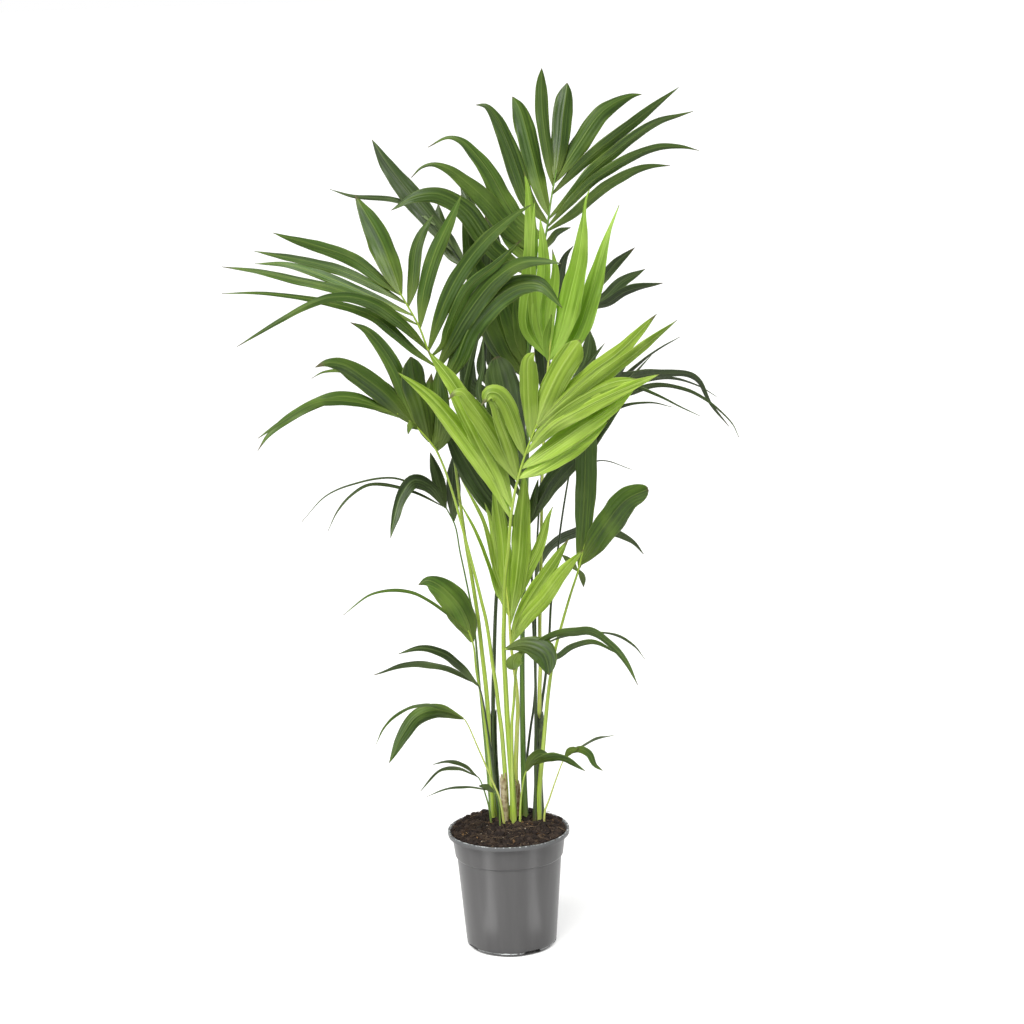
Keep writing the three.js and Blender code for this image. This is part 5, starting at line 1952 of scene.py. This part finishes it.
FRONDS["frond_right_lower"] = FrondPlan(
    Leaf.DEEP, Stalk.LIME, "leaf_dark", foot=[45, -5], radius=[3.8, 1.2],
    petiole=[[47, 233, 0], [52, 279, 4], [56, 314, 8], [60, 349, 12], [66, 395, 17], [74, 440, 23],
        [85, 481, 28], [100, 530, 35], [112, 565, 40], [122, 600, 45], [131, 628, 50]],
    pointed=[
        [10, -23, 30, [113, 568], [119, 556], [120, 542]],
        [11, 20, 60, [113, 567], [104, 577], [90, 591]],
    ],
    blunt=[
        [42, -22, 136, [118, 577], [151, 631], [184, 670], [216, 685]],
    ],
    oblong=[
        [33, -18, 72, [115, 572], [121, 640], [126, 710], [128, 770], [129, 815]],
    ],
)
FRONDS["frond_left_dark"] = FrondPlan(
    Leaf.SHADED, Stalk.GREEN, "leaf_dark", foot=[-25, -29], radius=[2.2, 1],
    petiole=[[-30, 300, -36], [-36, 400, -38], [-42, 500, -36], [-51, 560, -34], [-58, 600, -30],
        [-64, 640, -26], [-76, 666, -20]],
    pointed=[
        [3.2, 30, 64, [-76, 664], [-95, 685], [-148, 712], [-213, 704], [-250, 688], [-285, 652]],
        [5.4, 30, 100, [-77, 668], [-124, 692], [-184, 704], [-212, 689], [-233, 666], [-248, 637]],
        [23, 30, 70, [-77, 668], [-96, 698], [-121, 708], [-140, 687], [-153, 647], [-158, 624]],
        [20, 23, -36, [-76, 666], [-84, 705], [-96, 748]],
        [24, -22, -38, [-66, 645], [-66, 700], [-62, 746]],
    ],
)
FRONDS["frond_left_low"] = FrondPlan(
    Leaf.FRESH, Stalk.LIME, "leaf_green", foot=[-22, -8], radius=[3.2, 1.2],
    petiole=[[-24, 260, -5], [-29, 330, -1], [-34, 380, 3], [-40, 420, 6], [-43, 460, 9], [-50, 482, 10]],
    pointed=[
        [44, 22, 10, [-45, 465], [-49, 493], [-64, 524], [-91, 552], [-107, 559], [-120, 553]],
        [6, 40, 110, [-48, 476], [-82, 511], [-125, 540], [-156, 546], [-191, 540], [-231, 511]],
    ],
)
FRONDS["frond_left_pair"] = FrondPlan(
    Leaf.SHADED, Stalk.DARK, "leaf_dark", foot=[-13, -3], radius=[2.3, 1],
    petiole=[[-18, 250, 4], [-26, 330, 14], [-36, 395, 24], [-42, 405, 26]],
    pointed=[
        [15, 35, 104, [-37, 397], [-63, 429], [-86, 448], [-121, 458], [-153, 450]],
        [16, 55, 40, [-40, 402], [-79, 425], [-111, 434], [-146, 433], [-191, 419]],
    ],
)
FRONDS["frond_left_small"] = FrondPlan(
    Leaf.DEEP, Stalk.YELLOW, "leaf_green", foot=[-6, 14], radius=[1.7, 0.8],
    petiole=[[-12, 225, 21], [-20, 247, 26], [-40, 300, 42], [-60, 348, 56], [-66, 352, 58]],
    pointed=[
        [16, 74, 168, [-62, 348], [-85, 364], [-116, 372], [-155, 362], [-178, 340], [-191, 314]],
        [24, 17, 110, [-62, 348], [-98, 363], [-129, 355], [-151, 327], [-173, 284]],
    ],
)
FRONDS["frond_left_lowest"] = FrondPlan(
    Leaf.SHADED, Stalk.GREEN, "leaf_dark", foot=[-25, 4], radius=[1.5, 0.8],
    petiole=[[-28, 212, 8], [-31, 225, 10], [-42, 258, 20], [-48, 262, 22]],
    pointed=[
        [14, 68, 100, [-43, 258], [-60, 276], [-84, 285], [-109, 280]],
        [14, 70, 40, [-46, 261], [-72, 274], [-98, 272], [-129, 239]],
    ],
)
FRONDS["frond_seedling_left"] = FrondPlan(
    Leaf.SHADED, Stalk.GREEN, "leaf_dark", foot=[-12, 22], radius=[1.3, 0.7],
    petiole=[[-13, 215, 30], [-17, 232, 36], [-26, 240, 40]],
    pointed=[
        [11, 30, 56, [-19, 234], [-30, 243], [-42, 245]],
        [11, 76, 116, [-22, 238], [-60, 245], [-90, 242], [-119, 231]],
    ],
)
FRONDS["frond_lower_right"] = FrondPlan(
    Leaf.DEEP, Stalk.LIME, "leaf_dark", foot=[9, 12], radius=[3.3, 1.2],
    petiole=[[8, 234, 19], [8, 280, 28], [9, 320, 36], [10, 345, 41], [13, 367, 46], [15, 392, 52],
        [17, 411, 57], [19.5, 424, 60], [24, 436, 63], [27, 445, 64], [21, 452, 64], [3, 452, 64]],
    pointed=[
        [15, 40, 146, [27, 445], [46, 457], [65, 467], [82, 473], [105, 474], [128, 475], [153, 458],
         [178, 429], [196, 391]],
        [14, 50, 50, [27, 445], [46, 446], [62, 436], [78, 437], [100, 452], [130, 458], [171, 438]],
        [15, 78, 20, [27, 445], [56, 455], [90, 468], [130, 472], [160, 469], [190, 452], [207, 430]],
    ],
    tear=[
        [38, 14, 100, [3, 453], [20, 456], [35, 456], [48, 451], [59, 443], [64, 431], [66, 411]],
        [27, 20, 92, [26, 448], [20, 442], [15, 434], [15, 421]],
    ],
)
FRONDS["frond_small_right"] = FrondPlan(
    Leaf.DEEP, Stalk.LIME, "leaf_green", foot=[17, 8], radius=[1.7, 0.9],
    petiole=[[19, 215, 14], [21, 232, 18], [27, 262, 26], [34, 274, 28]],
    pointed=[
        [17, -22, 60, [28, 264], [36, 282], [50, 292], [66, 286]],
        [19, 50, 116, [33, 273], [60, 283], [86, 281], [115, 263]],
    ],
)
FRONDS["frond_seedling_right"] = FrondPlan(
    Leaf.DEEP, Stalk.YELLOW, "leaf_dark", foot=[53, -4], radius=[1.4, 0.7],
    petiole=[[55, 205, 0], [60, 217, 2], [71, 248, 8], [85, 283, 18], [90, 290, 20]],
    pointed=[
        [11, -18, 40, [86, 284], [94, 295], [107, 298]],
        [12, -23, 92, [90, 290], [108, 297], [122, 289], [130, 272], [141, 263]],
        [12, 76, -50, [90, 290], [108, 298], [132, 310], [159, 316]],
    ],
)

YOUNG = "frond_young"
BACK = "frond_back_left"


def main() -> None:
    logging.basicConfig(level=logging.INFO, format="%(name)s: %(message)s")
    Studio().build()
    Pot().build()
    Soil(scatter_tree()).build()
    tree = FrondTree().build()
    fronds = {name: Frond(name, plan, tree) for name, plan in FRONDS.items()}
    for frond in fronds.values():
        frond.build()
    clasped, dark = round_stem(fronds[YOUNG], 348), round_stem(fronds[BACK], 338)
    Sheath("dry_sheath_left", DRY_FIBRE, "dry_fibre", upright(-4, 4, -1.5, 262), 4.8, 2.2).build()
    Sheath("dry_sheath_middle", DRY_FIBRE, "dry_fibre", upright(16, -7, -1, 246), 3.9, -1.2).build()
    Sheath("dark_sheath", GREEN_FIBRE, "sheath_green", dark, 5.0, -1.6, in_cad=False).build()
    Sheath("young_sheath", GREEN_FIBRE, "sheath_green", clasped, 6.1, 1.9).build()


if __name__ == "__main__":
    main()
